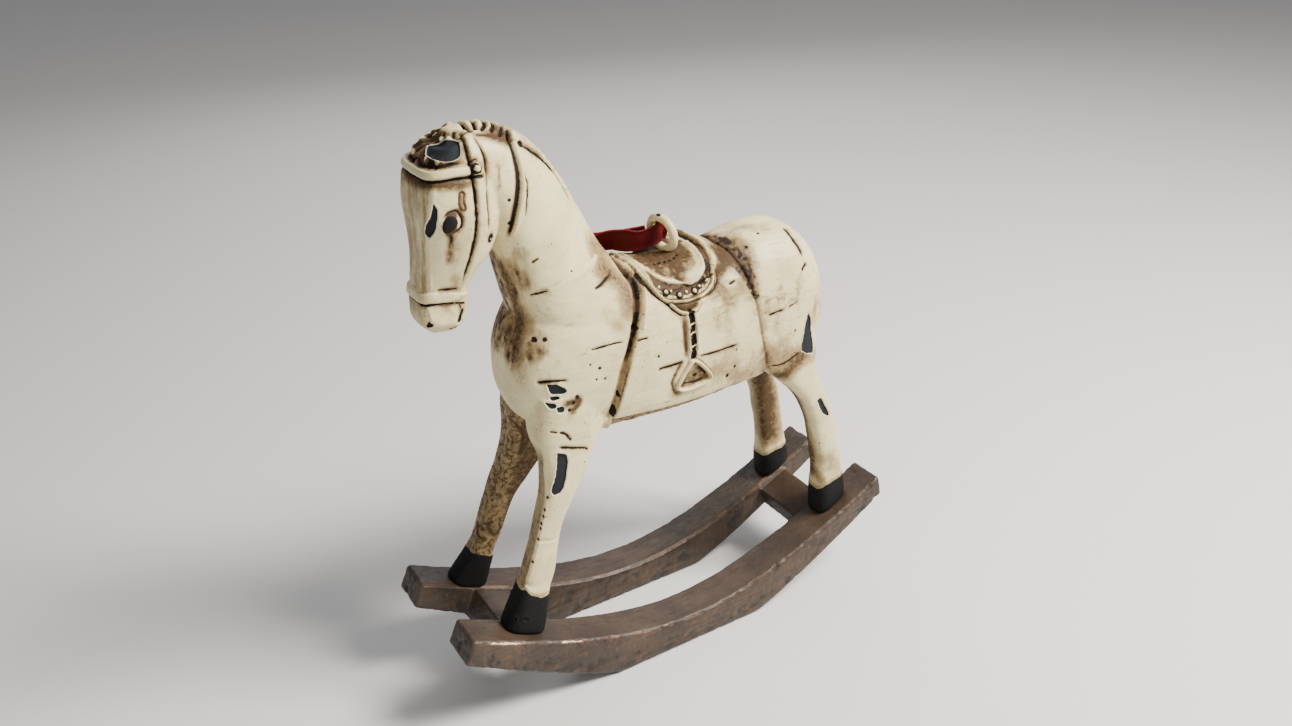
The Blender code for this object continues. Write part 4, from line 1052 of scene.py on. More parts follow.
def carveSaddle(s):
    raised = horse["cordRaise"]
    x, z = s.both[:, 0], s.both[:, 2]
    seat, _, _ = s.measure(saddle["middle"], saddle["reach"])
    px, pz = x[seat], z[seat]
    rise = pz - lineAt(seatLip, px)
    outer = lineAt(clothRim[:-2], px)
    # The band under the seat's lip, sunk, brown and blackened: a dark wash, deepened as painted shade under
    # the lip
    band = ramp(-rise, -0.1, 0.3) * ramp(pz - outer, 0, 0.3)
    band *= ramp(px - saddle["bandFrom"], 0, 1.5) * ramp(saddle["bandTo"] - px, 0, 0.6)
    s.lift[seat] -= saddle["bandDepth"] * band
    s.brown(band, seat)
    s.black(band * (0.4 + 0.7 * unevenness(s.near[seat], 0.7, 7)), seat)
    # Worn brown seat, bright along its rolled lower lip
    lip, away, _ = s.measure(seatLip, 4)
    top = ramp(rise, 0, 0.5) * ramp(px - saddle["seatFrom"], 0, 1.4) * ramp(saddle["seatTo"] - px, 0, 1)
    clear = np.ones(len(x))
    clear[lip] = ramp(away, 1.2, 3.0)
    mottle = 0.88 + 0.26 * unevenness(s.near[seat], 2.2, 8) + 0.3 * unevenness(s.near[seat], 0.7, 9)
    s.stain[seat] = np.maximum(s.stain[seat] * (1 - top), top * clear[seat] * np.clip(mottle, 0, 1))
    s.lift[seat] -= 0.14 * top * clear[seat] * ramp(unevenness(s.near[seat], 0.8, 9), 0.0, 0.7)
    s.lift[lip] += 0.45 * bell(away - 0.7, 0.7) * ramp(z[lip] - lineAt(seatLip, x[lip]), -0.2, 0.3)
    s.browning([(1.5, -2, 102.6), (5, -4, 102.2), (9, -3, 102.8)], 2.6, 1.0)
    for place in saddle["stitches"]:
        s.pit(place, 0.42, 0.35, dark=0.85)
    # Brown shadow round the cloth's rim, then the rim and the beads
    s.cut([(-4.3, 6.8, 102.6), (-3.8, 9.8, 100.5), (-2.3, 11.8, 98.1), (-0.4, 13, 96.4),
           (1.2, 13.9, 94.4), (3, 14.3, 92.6)], 0.6, 0.6, dark=0.95, taper=False)
    s.cut([(9.4, 13.5, 94.9), (12.6, 12.9, 95.6), (14.9, 11.8, 97.6), (15.6, 10.4, 100.6)], 0.5, 0.4,
          dark=0.6, spread=4)
    s.cord(clothRim, 0.34, raised, moat=0.25, browning=1.0)
    for place in saddle["beads"]:
        s.pit(place, 1.0, 0.15, dark=0.95)
        s.bump(place, 0.72, 0.75, browning=1.0)
    for place in saddle["smallBeads"]:
        s.bump(place, 0.44, 0.45)
    grit, far, _ = s.measure(saddle["grit"], 2)
    s.brown(0.75 * ramp(unevenness(s.near[grit], 0.45, 17), -0.1, 0.5) * (1 - ramp(far, 0.9, 1.6)), grit)
    # Flap, stirrup leather of two twisted strips over a black gap, and stirrup
    for side in (-1, 1):
        s.browning([(2.4, 14 * side, 94.6), (5.5, 14.4 * side, 94), (7.6, 13.8 * side, 94.6)], 1.3, 0.9)
    s.cut(moved(flap[1:], z=1.0), 0.4, 0.35, dark=0.55)
    s.cord(flap, 0.36, raised * 0.9, moat=0.2, browning=0.8)
    # Painted shadow down the front of the stirrup leather, sunk a little
    s.cut(moved(strapFront, -1.3), 0.7, 0.3, dark=0.3)
    core = [tuple((a + b) / 2 for a, b in zip(p, q)) for p, q in zip(strapFront, strapRear)]
    strap, far, _ = s.measure(core, 3)
    inner = 1 - ramp(far, 0.7, 1.0)
    s.lift[strap] -= saddle["strapGap"] * inner
    s.black(1.3 * inner, strap)
    for line, out in ((strapFront, -0.35), (strapRear, 0.35)):
        s.cord(moved(line, out), 0.26, 0.6)
    for low in saddle["twists"]:
        s.cord([(4.1, 15.2, low), (5.2, 15.3, low + 0.6), (6.2, 15.3, low + 0.8)], 0.2, 0.6)
    # Painted shadow along the front and foot of the stirrup
    s.cut([(2.3, 15.3, 82.1), (0.4, 15.2, 79.2), (-1, 15, 76.7), (-0.7, 14.8, 74.3),
           (0.5, 14.7, 73), (2.5, 14.6, 72.4)], 0.6, 0.3, browning=0.95, dark=0.2, spread=2.6)
    inside, far = s.within(stirrupIron[:-1], True)
    hollow = ramp(far, 0.2, 0.6)
    s.brown(hollow * (0.7 + 0.3 * unevenness(s.near[inside], 0.6, 15)), inside)
    s.lift[inside] -= 0.35 * hollow
    s.cut([(1.6, 15, 75.4), (4.9, 14.8, 74.7), (8.6, 14.8, 75)], 0.32, 0.2, dark=0.9)
    s.cut([(6.3, 15.1, 78.8), (7.6, 15, 77.3), (8.8, 14.9, 75.7)], 0.32, 0.2, dark=0.9)
    s.pit((5.4, 14.9, 76.6), 0.6, 0.2, stretch=(0.8, 1, 1.3))
    s.cord(stirrupIron, 0.4, raised, moat=0.2, browning=0.7)


head = {
    "faceHeights": (108.5, 134.2),
    "noseTop": 107.2,  # of the flat front below the noseband
    "noseHalfWidth": 4.3,
    "strapHalfWidth": 1.4,
    "throatLashDepth": 0.8,
    "eyeRaise": (0.3, 0.25),  # the socket, and the ball on it
    "cheekStrap": [(-40.8, 5, 141.2), (-41, 7.4, 137.8), (-41, 9.4, 131), (-41.6, 9.6, 125)],
    # Between the forelock's locks, from the poll outwards
    "locks": [
        [(-42.6, 2, 142.2), (-44.6, 6, 140.6), (-44, 8.2, 137.6)],
        [(-46.4, 0.4, 141), (-48.4, 3.4, 138.8), (-50.6, 6.8, 136.8)],
        [(-47.6, 0.2, 140.4), (-49.8, 2.2, 138), (-51.4, 4.4, 136.6)],
        [(-44.4, 1, 142), (-46, 2.6, 140.8), (-46.4, 4.4, 140)],
        [(-49.2, 6.4, 138.4), (-49.9, 7.4, 137.2), (-49.6, 8, 136.6)],
        [(-50.8, 0, 137.8), (-51.6, 2, 136.8), (-51.9, 3, 136.5)],
    ],
    "lockTops": [(-49, 7, 137.9), (-46.2, 2, 141.2), (-44.6, 4.4, 141.4), (-47.4, 4.4, 139.8),
                 (-50.4, 3.4, 137.9)],
    # Across the clipped mane, from the poll back
    "notches": [
        [(-40.2, 0.4, 143), (-40.4, 2.4, 142.8), (-40.1, 4.8, 142.2)],
        [(-37.6, 0.3, 142.6), (-38, 1.8, 142.3), (-38.5, 3.8, 141.8)],
        [(-35.2, 0.3, 142.2), (-35.9, 2.3, 141.9), (-37.2, 4, 141.7)],
        [(-33.2, 0.3, 141.8), (-33.9, 2.3, 141.4), (-35, 3.7, 140.7)],
        [(-31.2, 0.4, 141), (-32.1, 2.7, 140.5), (-33.3, 4.2, 139.7)],
        [(-29.8, 0.8, 140.2), (-30.8, 2.8, 139.8), (-31.6, 4.4, 138.6)],
    ],
    "maneStrands": 130,  # radians along its whole line
}


def carveHead(s):
    raised = horse["strapRaise"]
    x, y, z = s.both.T
    # The face's front is a flat plane of its own, browner than the sides as painted shade where it faces away
    # from the light, with brush streaks of wash down it
    low, high = head["faceHeights"]
    plane = ramp(lineAt(faceEdge, z, 2, 1) - y, -0.1, 0.4) * (s.normals[:, 0] < -0.25) * (x < -46)
    plane *= ramp(z - low, 0, 1.5) * ramp(high - z, 0, 0.5)
    streaks = unevenness(s.near * (1, 1, 0.12), 0.7, 61)
    s.brown(plane * np.clip(0.42 + 0.2 * streaks + 0.1 * ramp(z, 126, 134), 0, 1))
    s.cord(faceEdge, 0.7, 0.14)
    # The muzzle's front below the noseband, browned as painted shade, with brush streaks
    front = ramp(head["noseHalfWidth"] - y, 0, 0.5) * ramp(head["noseTop"] - z, 0, 0.5)
    front *= (s.normals[:, 0] < -0.5) * (x < -50)
    s.brown(front * np.clip(0.34 + 0.2 * streaks, 0, 1))
    # Forelock locks round the poll, cut deep and brown between them
    for line in head["locks"]:
        s.cut(line, 0.5, 0.6, dark=0.95, spread=2.4)
    s.cut([(-51.8, 0, 136.6), (-50.6, 6.2, 136.9), (-47.8, 8.3, 137), (-43.4, 8.9, 136.9)], 0.55, 0.5,
          dark=0.85)
    for place in head["lockTops"]:
        s.bump(place, 0.8, 0.35)
    s.pit((-50.2, 5.6, 137.4), 0.8, 0.35, stretch=(0.6, 0.8, 1.3))
    # Bridle
    cheek, far, where = s.measure(head["cheekStrap"], 3)
    strap = 1 - ramp(far - head["strapHalfWidth"], -0.2, 0.2)
    s.lift[cheek] += raised * strap * (1 - 0.6 * ramp(where, 0.5, 1))
    s.cut([(-40.4, 9.2, 133.4), (-42.1, 9.4, 133.6), (-45.4, 9.4, 133.9), (-49.2, 9.1, 134),
           (-51.6, 7, 133.9), (-52.5, 3.5, 133.9), (-52.7, 0, 133.9)], 0.42, 0.5, dark=0.95,
          taper=False, spread=2.8)
    s.browning([(-45, -9.4, 133), (-49, -9, 133), (-52.4, -3, 133), (-52.4, 3, 133)], 1.1, 0.75)
    s.cord(browband, 0.9, raised, moat=0.2, browning=0.5, flat=0.85)
    s.cut(cheekFront, 0.46, 0.6, dark=0.85, spread=2.0)
    s.cut(cheekRear, 0.34, 0.45, dark=0.85, spread=1.8)
    s.pit((-39.9, 8.6, 119.8), 0.9, 0.3, stretch=(1.1, 1, 0.75))
    s.bump((-39.7, 8.5, 119.4), 0.3, 0.3)
    lash, far, where = s.measure(throatLash, 3.4)
    wide = 0.4 + 0.36 * np.sin(np.pi * np.clip(where * 1.05, 0, 1))
    s.lift[lash] -= head["throatLashDepth"] * bell(far, wide) * ramp(1 - where, 0, 0.1)
    s.brown(bell(far, wide * 1.5) * ramp(1 - where, 0, 0.1), lash)
    s.black(0.9 * bell(far, wide * 0.8) * ramp(1 - where, 0, 0.12), lash)
    s.cord(moved(throatLash[1:-1], 1.2), 0.5, 0.35)
    s.cut([(-29.7, 7.9, 132.3), (-30.2, 8.4, 131), (-29.9, 8.6, 130), (-30.4, 9.2, 127.6),
           (-31, 9.5, 125.5), (-31.8, 9.7, 122.4)], 0.27, 0.3, browning=0.7, dark=1.0)
    s.cut(moved(noseband[:-1], 0.1, z=-1.45), 0.34, 0.45, dark=0.95, taper=False)
    s.cord(noseband, 1.1, raised * 0.9, moat=0.1, browning=0.25, flat=0.85)
    s.cut([(-52, 5.6, 109.9), (-49.8, 6, 109.7), (-47.4, 6.1, 109.4)], 0.36, 0.35)
    s.bump((-46.2, 6, 108.2), 1.0, 0.25)
    # Rosette where the straps meet: a small ring round a bright knob, with a hook over it
    s.bump(rosette, 1.25, 0.3)
    at, far, _ = s.measure([rosette], 3)
    ring = bell(far - 0.85, 0.24)
    s.lift[at] -= 0.4 * ring
    s.brown(ring, at)
    s.black(1.1 * ring * (x[at] < rosette[0] + 0.5), at)
    s.cut([(-42.6, 9, 136.4), (-41.9, 9.2, 137), (-41, 9, 137.2), (-40.6, 9.1, 136.6)], 0.34, 0.4)
    # Eye: a black ball, its light rear corner, a brown lid and a brown run below it
    socket, ball = head["eyeRaise"]
    at, far = s.within(eyeOutline, True)
    s.lift[at] += socket * ramp(far, -1.2, 0.4)
    s.brown(0.95 * ramp(far, -1.3, -0.5) * (x[at] > -49.4), at)
    s.cut([(-50, 8.6, 126.4), (-48.6, 9, 127.4), (-47, 9.7, 127.6), (-46.1, 9.5, 125.8),
           (-46.2, 9.4, 124.2), (-47.2, 9.1, 123.1), (-48.9, 8.9, 122.8)], 0.4, 0.4, dark=0.75)
    s.cut([(-49, 8.9, 123), (-48.5, 8.8, 121.7), (-48.7, 8.3, 120.4)], 0.3, 0.2)
    at, far, _ = s.measure([(-46.9, 9.9, 126.2), (-46.6, 9.6, 125.2), (-47.1, 9.5, 124.2)], 2)
    s.stain[at] *= ramp(far, 0.2, 0.4)
    s.dark[at] *= ramp(far, 0.2, 0.4)
    at, far = s.within(eyeOutline, True)
    s.hoof[at] = np.maximum(s.hoof[at], far)
    s.lift[at] += ball * ramp(far, -0.1, 0.7)
    oval, far, _ = s.measure([(-45.4, 9.7, 130.6), (-45.7, 9.7, 129), (-45.5, 9.8, 127.8)], 2.6)
    s.lift[oval] -= 0.3 * bell(far - 0.5, 0.28)
    s.brown(bell(far - 0.5, 0.4), oval)
    # Nostril, mouth and chin
    nostril, far = s.within([(-54.2, 4.4, 103.4), (-53.5, 4.9, 102.3), (-54.1, 4.7, 101.9),
                             (-55, 4.2, 101.9), (-54.6, 4.3, 102.5)], True)
    s.lift[nostril] -= 0.5 * ramp(far, -0.1, 0.3)
    s.dark[nostril] *= ramp(-far, -0.1, 0.2)
    s.black(1.2 * ramp(far, -0.16, 0.04), nostril)
    s.cut([(-46.5, 4.9, 104.4), (-47.3, 4.8, 102.8), (-48, 4.6, 101.2)], 0.58, 0.6, dark=1.3,
          spread=1.5)
    for place in ((-49.6, 4.4, 99.9), (-48.6, 4.4, 100.1)):
        s.pit(place, 0.4, 0.3)
    s.browning([(-49.6, -5.4, 106.4), (-49.9, -5.2, 103.6)], 0.5, 0.6)
    s.browning([(-54.8, -4.8, 106.2), (-54.6, -4.6, 105.4)], 0.4, 0.7)
    # Ear and mane
    s.cut([(-43.6, 4.6, 140.4), (-41.6, 4.8, 141.4), (-39.6, 4.6, 141.8)], 0.3, 0.45)
    for line in head["notches"]:
        s.cut(line, 0.5, 1.2, dark=1.1, taper=False, spread=1.6)
    s.cut([(-40, 5.6, 141.4), (-36.8, 5, 140.4), (-33.4, 4.9, 139.2), (-31.8, 5, 138)], 0.5, 0.4,
          dark=0.5, spread=3.2)
    s.cut([(-29.3, 4.6, 137.5), (-28, 4, 136), (-25.9, 3.8, 134.3), (-24.1, 3.5, 132.5),
           (-22.3, 3.2, 130.4), (-21.1, 2.9, 128.6), (-19.9, 3.2, 125.9), (-18.6, 3.6, 121.4)], 0.46, 0.6,
          dark=1.0, spread=2.0)
    s.pit((-28.9, 4.5, 137.2), 0.8, 0.4)
    hair, far, where = s.measure(maneLine, 4.0)
    strands = np.cos(where * head["maneStrands"] + y[hair] * 1.6)
    lower = ramp(where, 0.25, 0.4) * ramp(far, 0.2, 1.0) * (1 - ramp(far, 2.6, 3.2))
    s.lift[hair] -= 0.25 * (0.5 - 0.5 * strands) * lower
    s.brown(0.45 * ramp(-strands, 0.3, 1) * lower, hair)


legs = {
    "tail": [(44, 0, 96), (48.4, 0, 90), (50, 0, 82), (50, 0, 73), (48.4, 0, 64), (46.6, 0, 57)],
    "tailReach": 5,
    "tailStrands": 5.2,  # radians a millimetre across it
    "hoofRaise": 0.16,
    "insideHeights": (32, 72),  # the near foreleg's inner side, browned as painted shade
    "farHeights": (28, 77),  # the far foreleg's brown
    "farSplit": [(-38.2, 0, 38), (-36.3, 0, 44), (-34.2, 0, 51), (-32, 0, 61), (-30, 0, 75)],
    "wormDepth": 0.12,
    "edgePits": [(-36.2, 53.2), (-37.3, 49.9), (-37.6, 48.6), (-38.6, 45.9), (-40.4, 40.2), (-35.3, 56.2),
                 (-36.6, 51.6)],
    # Lines on the far foreleg's inner side
    "loops": [
        [(-40.8, 8.6, 39.3), (-42.4, 8.9, 37.9), (-41.2, 8.7, 34.9), (-39.2, 8.8, 36), (-39.6, 8.7, 38.6)],
        [(-43.6, 12.4, 38.2), (-44.8, 10.8, 35.8), (-43.2, 9.2, 34)],
        [(-33.4, 7, 68), (-31.2, 6.6, 63), (-32.4, 6.8, 56)],
    ],
    "hoofFlakes": [(-44.6, -15.4, 25.9), (-47.2, -14.9, 26.4)],
    "hoofFlake": [(-0.6, 0), (0, 0.5), (0.6, 0.1), (0.1, -0.4)],
}


def carveLegsAndTail(s):
    x, y, z = s.near.T
    tail, _, where = s.measure(legs["tail"], legs["tailReach"], mirrored=False)
    strands = np.cos((s.near[tail][:, 1] + 0.6 * np.sin(where * 9)) * legs["tailStrands"])
    hair = (s.near[tail][:, 0] > 47.6) | (s.near[tail][:, 2] < 66)
    s.lift[tail] -= 0.3 * (0.5 - 0.5 * strands) * hair
    s.brown((0.3 + 0.5 * ramp(-strands, 0, 1)) * hair, tail)
    for top, side in ((hooves["nearForeTop"], -1), (hooves["nearHindTop"], -1),
                      (hooves["farForeTop"], 1), (hooves["farHindTop"], 1)):
        fore = top[0][0] < 0
        leg = (y * side > 2) & ((x < 0) == fore) & (z < 45)
        edge = (lineAt(top, x, 0, 1) - z)[leg]
        s.hoof[leg] = np.clip(edge + 0.3 * unevenness(s.near[leg], 1.5, 13), -farOut, farOut)
        s.lift[leg] += legs["hoofRaise"] * (ramp(edge, -0.1, 0.25) + bell(edge + 0.9, 0.7))
        s.brown(0.55 * bell(edge + 0.4, 1.0), leg)
    # The knife edge down the near foreleg; the inner side in front of it faces away from the light and is
    # browned as painted shade, with faint streaks
    s.cord(knifeEdge, 0.8, 0.24, mirrored=False)
    low, high = legs["insideHeights"]
    inner = ramp(y - lineAt(knifeEdge, z, 2, 1), 0, 0.6) * ramp(0.3 - s.normals[:, 0], 0, 0.4)
    inner *= ramp(z - low, 0, 2) * ramp(high - z, 0, 8) * (y < 0) * (x < 0)
    s.brown(inner * (0.64 + 0.14 * unevenness(s.near * (1, 1, 0.2), 1.2, 71)))
    # The far foreleg is brown all over, with small worm-like lines, and smoother on its inner side
    worm = 1 - np.abs(unevenness(s.near, 1.3, 72) + 0.5 * unevenness(s.near, 0.7, 73)) * 3.2
    low, high = legs["farHeights"]
    leg = (y > 3) * (x < -10) * ramp(high - z, 0, 5) * ramp(z - low, 0, 2)
    smooth = ramp(x - lineAt(legs["farSplit"], z, 2, 0), -0.3, 0.6)
    s.brown(leg * ((1 - smooth) * (0.66 + 0.2 * ramp(worm, 0, 1)) + 0.84 * smooth))
    s.black(leg * (1 - smooth) * 0.5 * ramp(worm, 0.86, 1) * ramp(unevenness(s.near, 4, 74), 0.1, 0.6))
    s.lift -= legs["wormDepth"] * leg * (1 - smooth) * ramp(worm, 0, 1)
    for px, pz in legs["edgePits"]:
        s.pit((px, -13.9, pz), 0.3, 0.15, dark=0.85, mirrored=False, stretch=(1.4, 1, 0.6))
    s.cut([(-38.6, -13.7, 45.6), (-36.6, -14.7, 45.1), (-34, -14.4, 44.8)], 0.3, 0.2, browning=0.4, dark=0.0,
          mirrored=False)
    s.cord([(-38.4, -13.9, 44.8), (-36.6, -14.8, 44.4), (-34, -14.4, 44.1)], 0.5, 0.12, mirrored=False)
    s.cut([(-43.6, -13.6, 36.2), (-41.8, -14.8, 33.8), (-39.2, -15.2, 34)], 0.5, 0.15, browning=0.2,
          dark=0.0, mirrored=False)
    for loop in legs["loops"]:
        s.cut(loop, 0.34, 0.2, dark=0.5, mirrored=False)
    for px, py, pz in legs["hoofFlakes"]:
        s.flake([(px + u, py, pz + v) for u, v in legs["hoofFlake"]])


wear = {
    "widened": 1.35,  # every knife cut is this much wider than its measure
    "pitDepth": 0.2,
    # The soft ridge left where the neck meets the chest
    "neckRidge": [(-28.3, -10.6, 105.7), (-23.5, -10.9, 106.7), (-18.4, -9.5, 107.6), (-14.6, -6.8, 108.9)],
    # Knife cuts in the wood that the cast copies: line, half width, depth
    "knifeCuts": [
        ([(-21.5, -14.1, 90.4), (-15.5, -14.4, 90.4), (-12.5, -14.4, 90)], 0.22, 0.4),
        ([(-9.8, -14.6, 89.6), (-8.6, -15.3, 89.9), (-6.8, -15.3, 89.8)], 0.22, 0.35),
        ([(-5.1, -15.7, 80.8), (-3.6, -15.8, 81.1), (2.2, -15.8, 81)], 0.34, 0.5),
        ([(6.2, -15.8, 81.4), (10.4, -15.7, 81), (18.6, -15.4, 81.1)], 0.28, 0.4),
        ([(-34.2, -10.9, 84.8), (-30.7, -12.6, 84.7), (-27.1, -13.7, 84.4)], 0.34, 0.45),
        ([(-31.8, -14.4, 68.7), (-28, -14.8, 67.5), (-24.1, -14.6, 66.1)], 0.34, 0.5),
        ([(-33.1, -13.4, 72.9), (-31, -14.2, 72.3)], 0.16, 0.25),
        ([(-31, -14.2, 72.3), (-29.7, -14.4, 71.8), (-28.9, -14.6, 70.9), (-28.5, -14.6, 69.8)], 0.3, 0.35),
        ([(-17.8, -11.1, 103.2), (-15.7, -10.3, 103.5), (-11.4, -7.6, 104.5)], 0.34, 0.4),
        ([(-32.3, -8.2, 104.7), (-28.3, -10.6, 105.7)], 0.2, 0.3),
        ([(-31.6, -9.4, 112.4), (-29.9, -9.9, 113.3)], 0.24, 0.3),
        ([(39, -4.8, 103.4), (39.8, -8.9, 100.9), (40.8, -11.8, 96.9)], 0.56, 0.6),
        ([(41.2, -12.3, 95.6), (39.2, -12.8, 94)], 0.3, 0.4),
        ([(27.9, -14.3, 85.5), (33, -14.1, 85.8)], 0.3, 0.4),
        ([(34, -14.1, 86), (37, -14, 86.8)], 0.15, 0.15),
        ([(17.2, -13, 96.2), (19.6, -12.6, 96.6)], 0.22, 0.3),
        ([(28.6, -14.2, 70.4), (33, -14.2, 70.8), (38, -14.2, 72.6)], 0.24, 0.3),
        ([(-30, 13.2, 88), (-24, 14.4, 89), (-20, 14.4, 88.6)], 0.24, 0.4),
        ([(2, 15.8, 80), (9, 15.8, 81), (14, 15.6, 80.6)], 0.26, 0.4),
        ([(31, 14.2, 80), (36, 14.2, 81)], 0.26, 0.4),
        ([(38, 6, 102.8), (40, 10, 99)], 0.3, 0.4),
        ([(-29, 10.6, 106), (-23, 11, 107)], 0.2, 0.3),
        ([(43.6, 15, 60), (47, 15, 61)], 0.22, 0.3),
    ],
    # Place and radius
    "pits": [((-32.7, -9.4, 94.5), 0.75), ((-30.8, -10.8, 94.5), 0.6), ((14.9, -14.6, 73.4), 0.6),
             ((17, -14.4, 75.4), 0.45), ((-25.6, -14.2, 79.8), 0.55), ((-27.8, -14, 77.2), 0.5),
             ((-26.6, -14, 78.6), 0.5), ((-28.4, -14.6, 69.9), 0.35), ((-24.4, -14.8, 66), 0.3),
             ((-25.4, -14.8, 62.8), 0.26), ((-4.6, -15.6, 84.6), 0.34), ((36.5, -14, 79), 0.3),
             ((31, -6, 105), 0.4), ((26, -8, 102.6), 0.5), ((24.4, -9.6, 100), 0.6),
             ((-22.4, -12, 109), 0.25), ((-19.6, -14.4, 85.6), 0.4), ((-20.6, -14.4, 83), 0.3),
             ((-18.4, -14.5, 82.6), 0.32), ((-21.8, -14.4, 87), 0.3), ((-35.6, -9, 121.6), 0.5),
             ((-34.9, -9, 127), 0.4)],
    # Outlines of the places where the paint is gone
    "pollFlake": [(-49.4, -2.5, 138.2), (-48.1, -0.8, 139.3), (-46.6, -2.1, 139.8), (-44.4, -4.3, 140.7),
                  (-43.3, -5.6, 140.4), (-43.6, -7.2, 139.1), (-44.5, -8, 137.7), (-46.9, -7.9, 137.4),
                  (-48.4, -6.8, 137.7), (-49.2, -4.8, 137.9)],
    "flakes": [
        [(-51.2, -8.6, 129.7), (-50.7, -8.9, 128.3), (-51.1, -8.7, 125.7), (-51.5, -8.2, 124),
         (-52.2, -7, 122.3), (-52.8, -6.2, 123), (-52.7, -6.7, 125.1), (-52.1, -7.8, 126.6)],
        [(-31.9, -12.1, 84.2), (-29.9, -12.9, 83.8), (-27.9, -13.5, 82.3), (-28.3, -13.4, 81.3),
         (-30.2, -12.9, 81.5), (-31.3, -12.3, 81.9)],
        [(-31.5, -12.3, 80.9), (-29.7, -12.9, 81), (-29.6, -13.1, 80.1), (-31.3, -12.6, 80.1)],
        [(-32.9, -12.3, 79.9), (-31.3, -13.2, 79.6), (-30.5, -13.5, 78.8), (-31.9, -13.1, 78.4)],
        [(-30.7, -13.6, 78.5), (-29, -13.9, 78.4), (-29.1, -14, 77.2), (-30.6, -13.7, 77.2)],
        [(-31.9, -14.4, 67.4), (-29.6, -14.8, 65.9), (-30.3, -14.9, 61.2), (-31.4, -15, 57.9),
         (-33.1, -14.8, 56.6), (-34.3, -14.2, 57.6), (-33, -14.5, 61.3)],
        [(41, -13.8, 82.7), (42.1, -13.4, 79.4), (43, -13.4, 71.6), (41.5, -13.9, 71.1),
         (38.5, -14.2, 73), (39.4, -13.9, 77.2), (40.2, -13.6, 80.1)],
        [(43.7, -14.6, 57), (45.1, -14.6, 57), (46.3, -14.6, 54.7), (48, -14.6, 51), (46.1, -14.7, 52),
         (44.6, -14.6, 54.7)],
        [(-24, 14.2, 96), (-21.6, 14.4, 97), (-20, 14.5, 94.4), (-22.4, 14.3, 93)],
        [(34.4, 14.2, 92), (36.6, 14, 93), (37.4, 14, 87), (35.6, 14.2, 86)],
    ],
}


def carveWear(s):
    for line, half, depth in wear["knifeCuts"]:
        s.cut(line, half * wear["widened"], depth, dark=0.85, mirrored=False, spread=1.9)
    s.cord(wear["neckRidge"], 0.6, 0.16, mirrored=False)
    for place, size in wear["pits"]:
        s.pit(place, size, wear["pitDepth"], dark=0.85, mirrored=False)
    s.flake(wear["pollFlake"], wobble=0.04)
    for outline in wear["flakes"]:
        s.flake(outline)


lastCuts = {
    "planes": 0.16,  # depth of the whittled planes, and of the small unevenness on them
    "unevenness": 0.05,
    "muzzleFront": -43,
    "muzzleFrom": 97,
    "muzzleTop": 107,
    "deepestCut": 0.7,
    # A point on each of the muzzle's flat planes, and the way it looks
    "muzzle": [
        ((-55.5, 0, 104), (-1, 0, 0.12)), ((-54.7, 0, 100.9), (-0.7, 0, -0.71)),
        ((-50, 0, 99.35), (-0.08, 0, -1)), ((-46.5, 0, 100.9), (0.62, 0, -0.78)),
        ((-50, 5.35, 103), (0.06, 1, 0.1)), ((-51, 4.9, 100.9), (-0.1, 0.74, -0.67)),
        ((-54.9, 4.3, 104), (-0.8, 0.6, 0)), ((-46, 4.9, 103), (0.7, 0.71, 0)),
    ],
    "solesBelow": 30,
    "socketAbove": 99,
    "socketFloor": 12,  # below the eye's middle
    "socketPush": 4,
    "socketBrown": ((7.3, 0, 102.6), 2.6, 0.95),  # place, radius, strength
}


def makeHorse(material):
    piece = horseSkin()
    mesh = piece.data
    s = Surface(mesh)
    print("horse skin:", len(s.near), "points")
    for stage in (carveBody, carveSaddle, carveHead, carveLegsAndTail, carveWear):
        stage(s)
        print("horse:", stage.__name__)
    # Whittled planes and small unevenness over everything
    s.lift += lastCuts["planes"] * unevenness(s.near * (0.5, 1, 1), 5.0, 41)
    s.lift += lastCuts["unevenness"] * unevenness(s.near * (0.3, 1, 1), 1.1, 42)
    places = s.near + s.normals * s.lift[:, None]
    muzzle = ramp(lastCuts["muzzleTop"] - places[:, 2], 0, 0.6) * (places[:, 2] > lastCuts["muzzleFrom"])
    muzzle *= places[:, 0] < lastCuts["muzzleFront"]
    for point, way in lastCuts["muzzle"]:
        way = np.array(way) / np.linalg.norm(way)
        for side in (-1, 1):
            turned = way * (1, side, 1)
            beyond = (places - np.array(point) * (1, side, 1)) @ turned
            places -= turned * (np.clip(beyond, 0, lastCuts["deepestCut"]) * muzzle)[:, None]
    x, y, z = places.T
    floor = rockerTop(x - rockerShift(y > 0)) + gap
    places[:, 2] = np.where((z < lastCuts["solesBelow"]) & (z < floor), floor, z)
    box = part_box("horse")
    places = np.clip(places, np.array(box[0]) / mm, np.array(box[1]) / mm)
    # The wire eye's socket
    middle, wire = np.array(wireEye["middle"]), wireEye["wire"] / 2 + gap
    lean = math.radians(wireEye["lean"])
    up = np.array([-math.sin(lean), 0, math.cos(lean)])
    along = (places - middle) @ up
    away = places - middle - along[:, None] * up
    reach = np.linalg.norm(away, axis=1)
    socket = (along < -wireEye["radius"]) & (along > -lastCuts["socketFloor"]) & (reach < wire)
    socket &= z > lastCuts["socketAbove"]
    places[socket] -= up * (lastCuts["socketPush"] * ramp(wire - reach[socket], 0, 0.25))[:, None]
    brownPlace, brownRadius, strength = lastCuts["socketBrown"]
    s.stain[np.linalg.norm(places - brownPlace, axis=1) < brownRadius] = strength
    writePlaces(mesh, places)
    for name in ("stain", "dark", "chip", "hoof"):
        writeMask(mesh, name, getattr(s, name))
    print("horse: masks written")
    dress(piece, horse["triangles"], material)
    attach(piece, "root")
    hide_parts("horse")
    print("horse:", len(piece.data.polygons), "faces")


# Materials

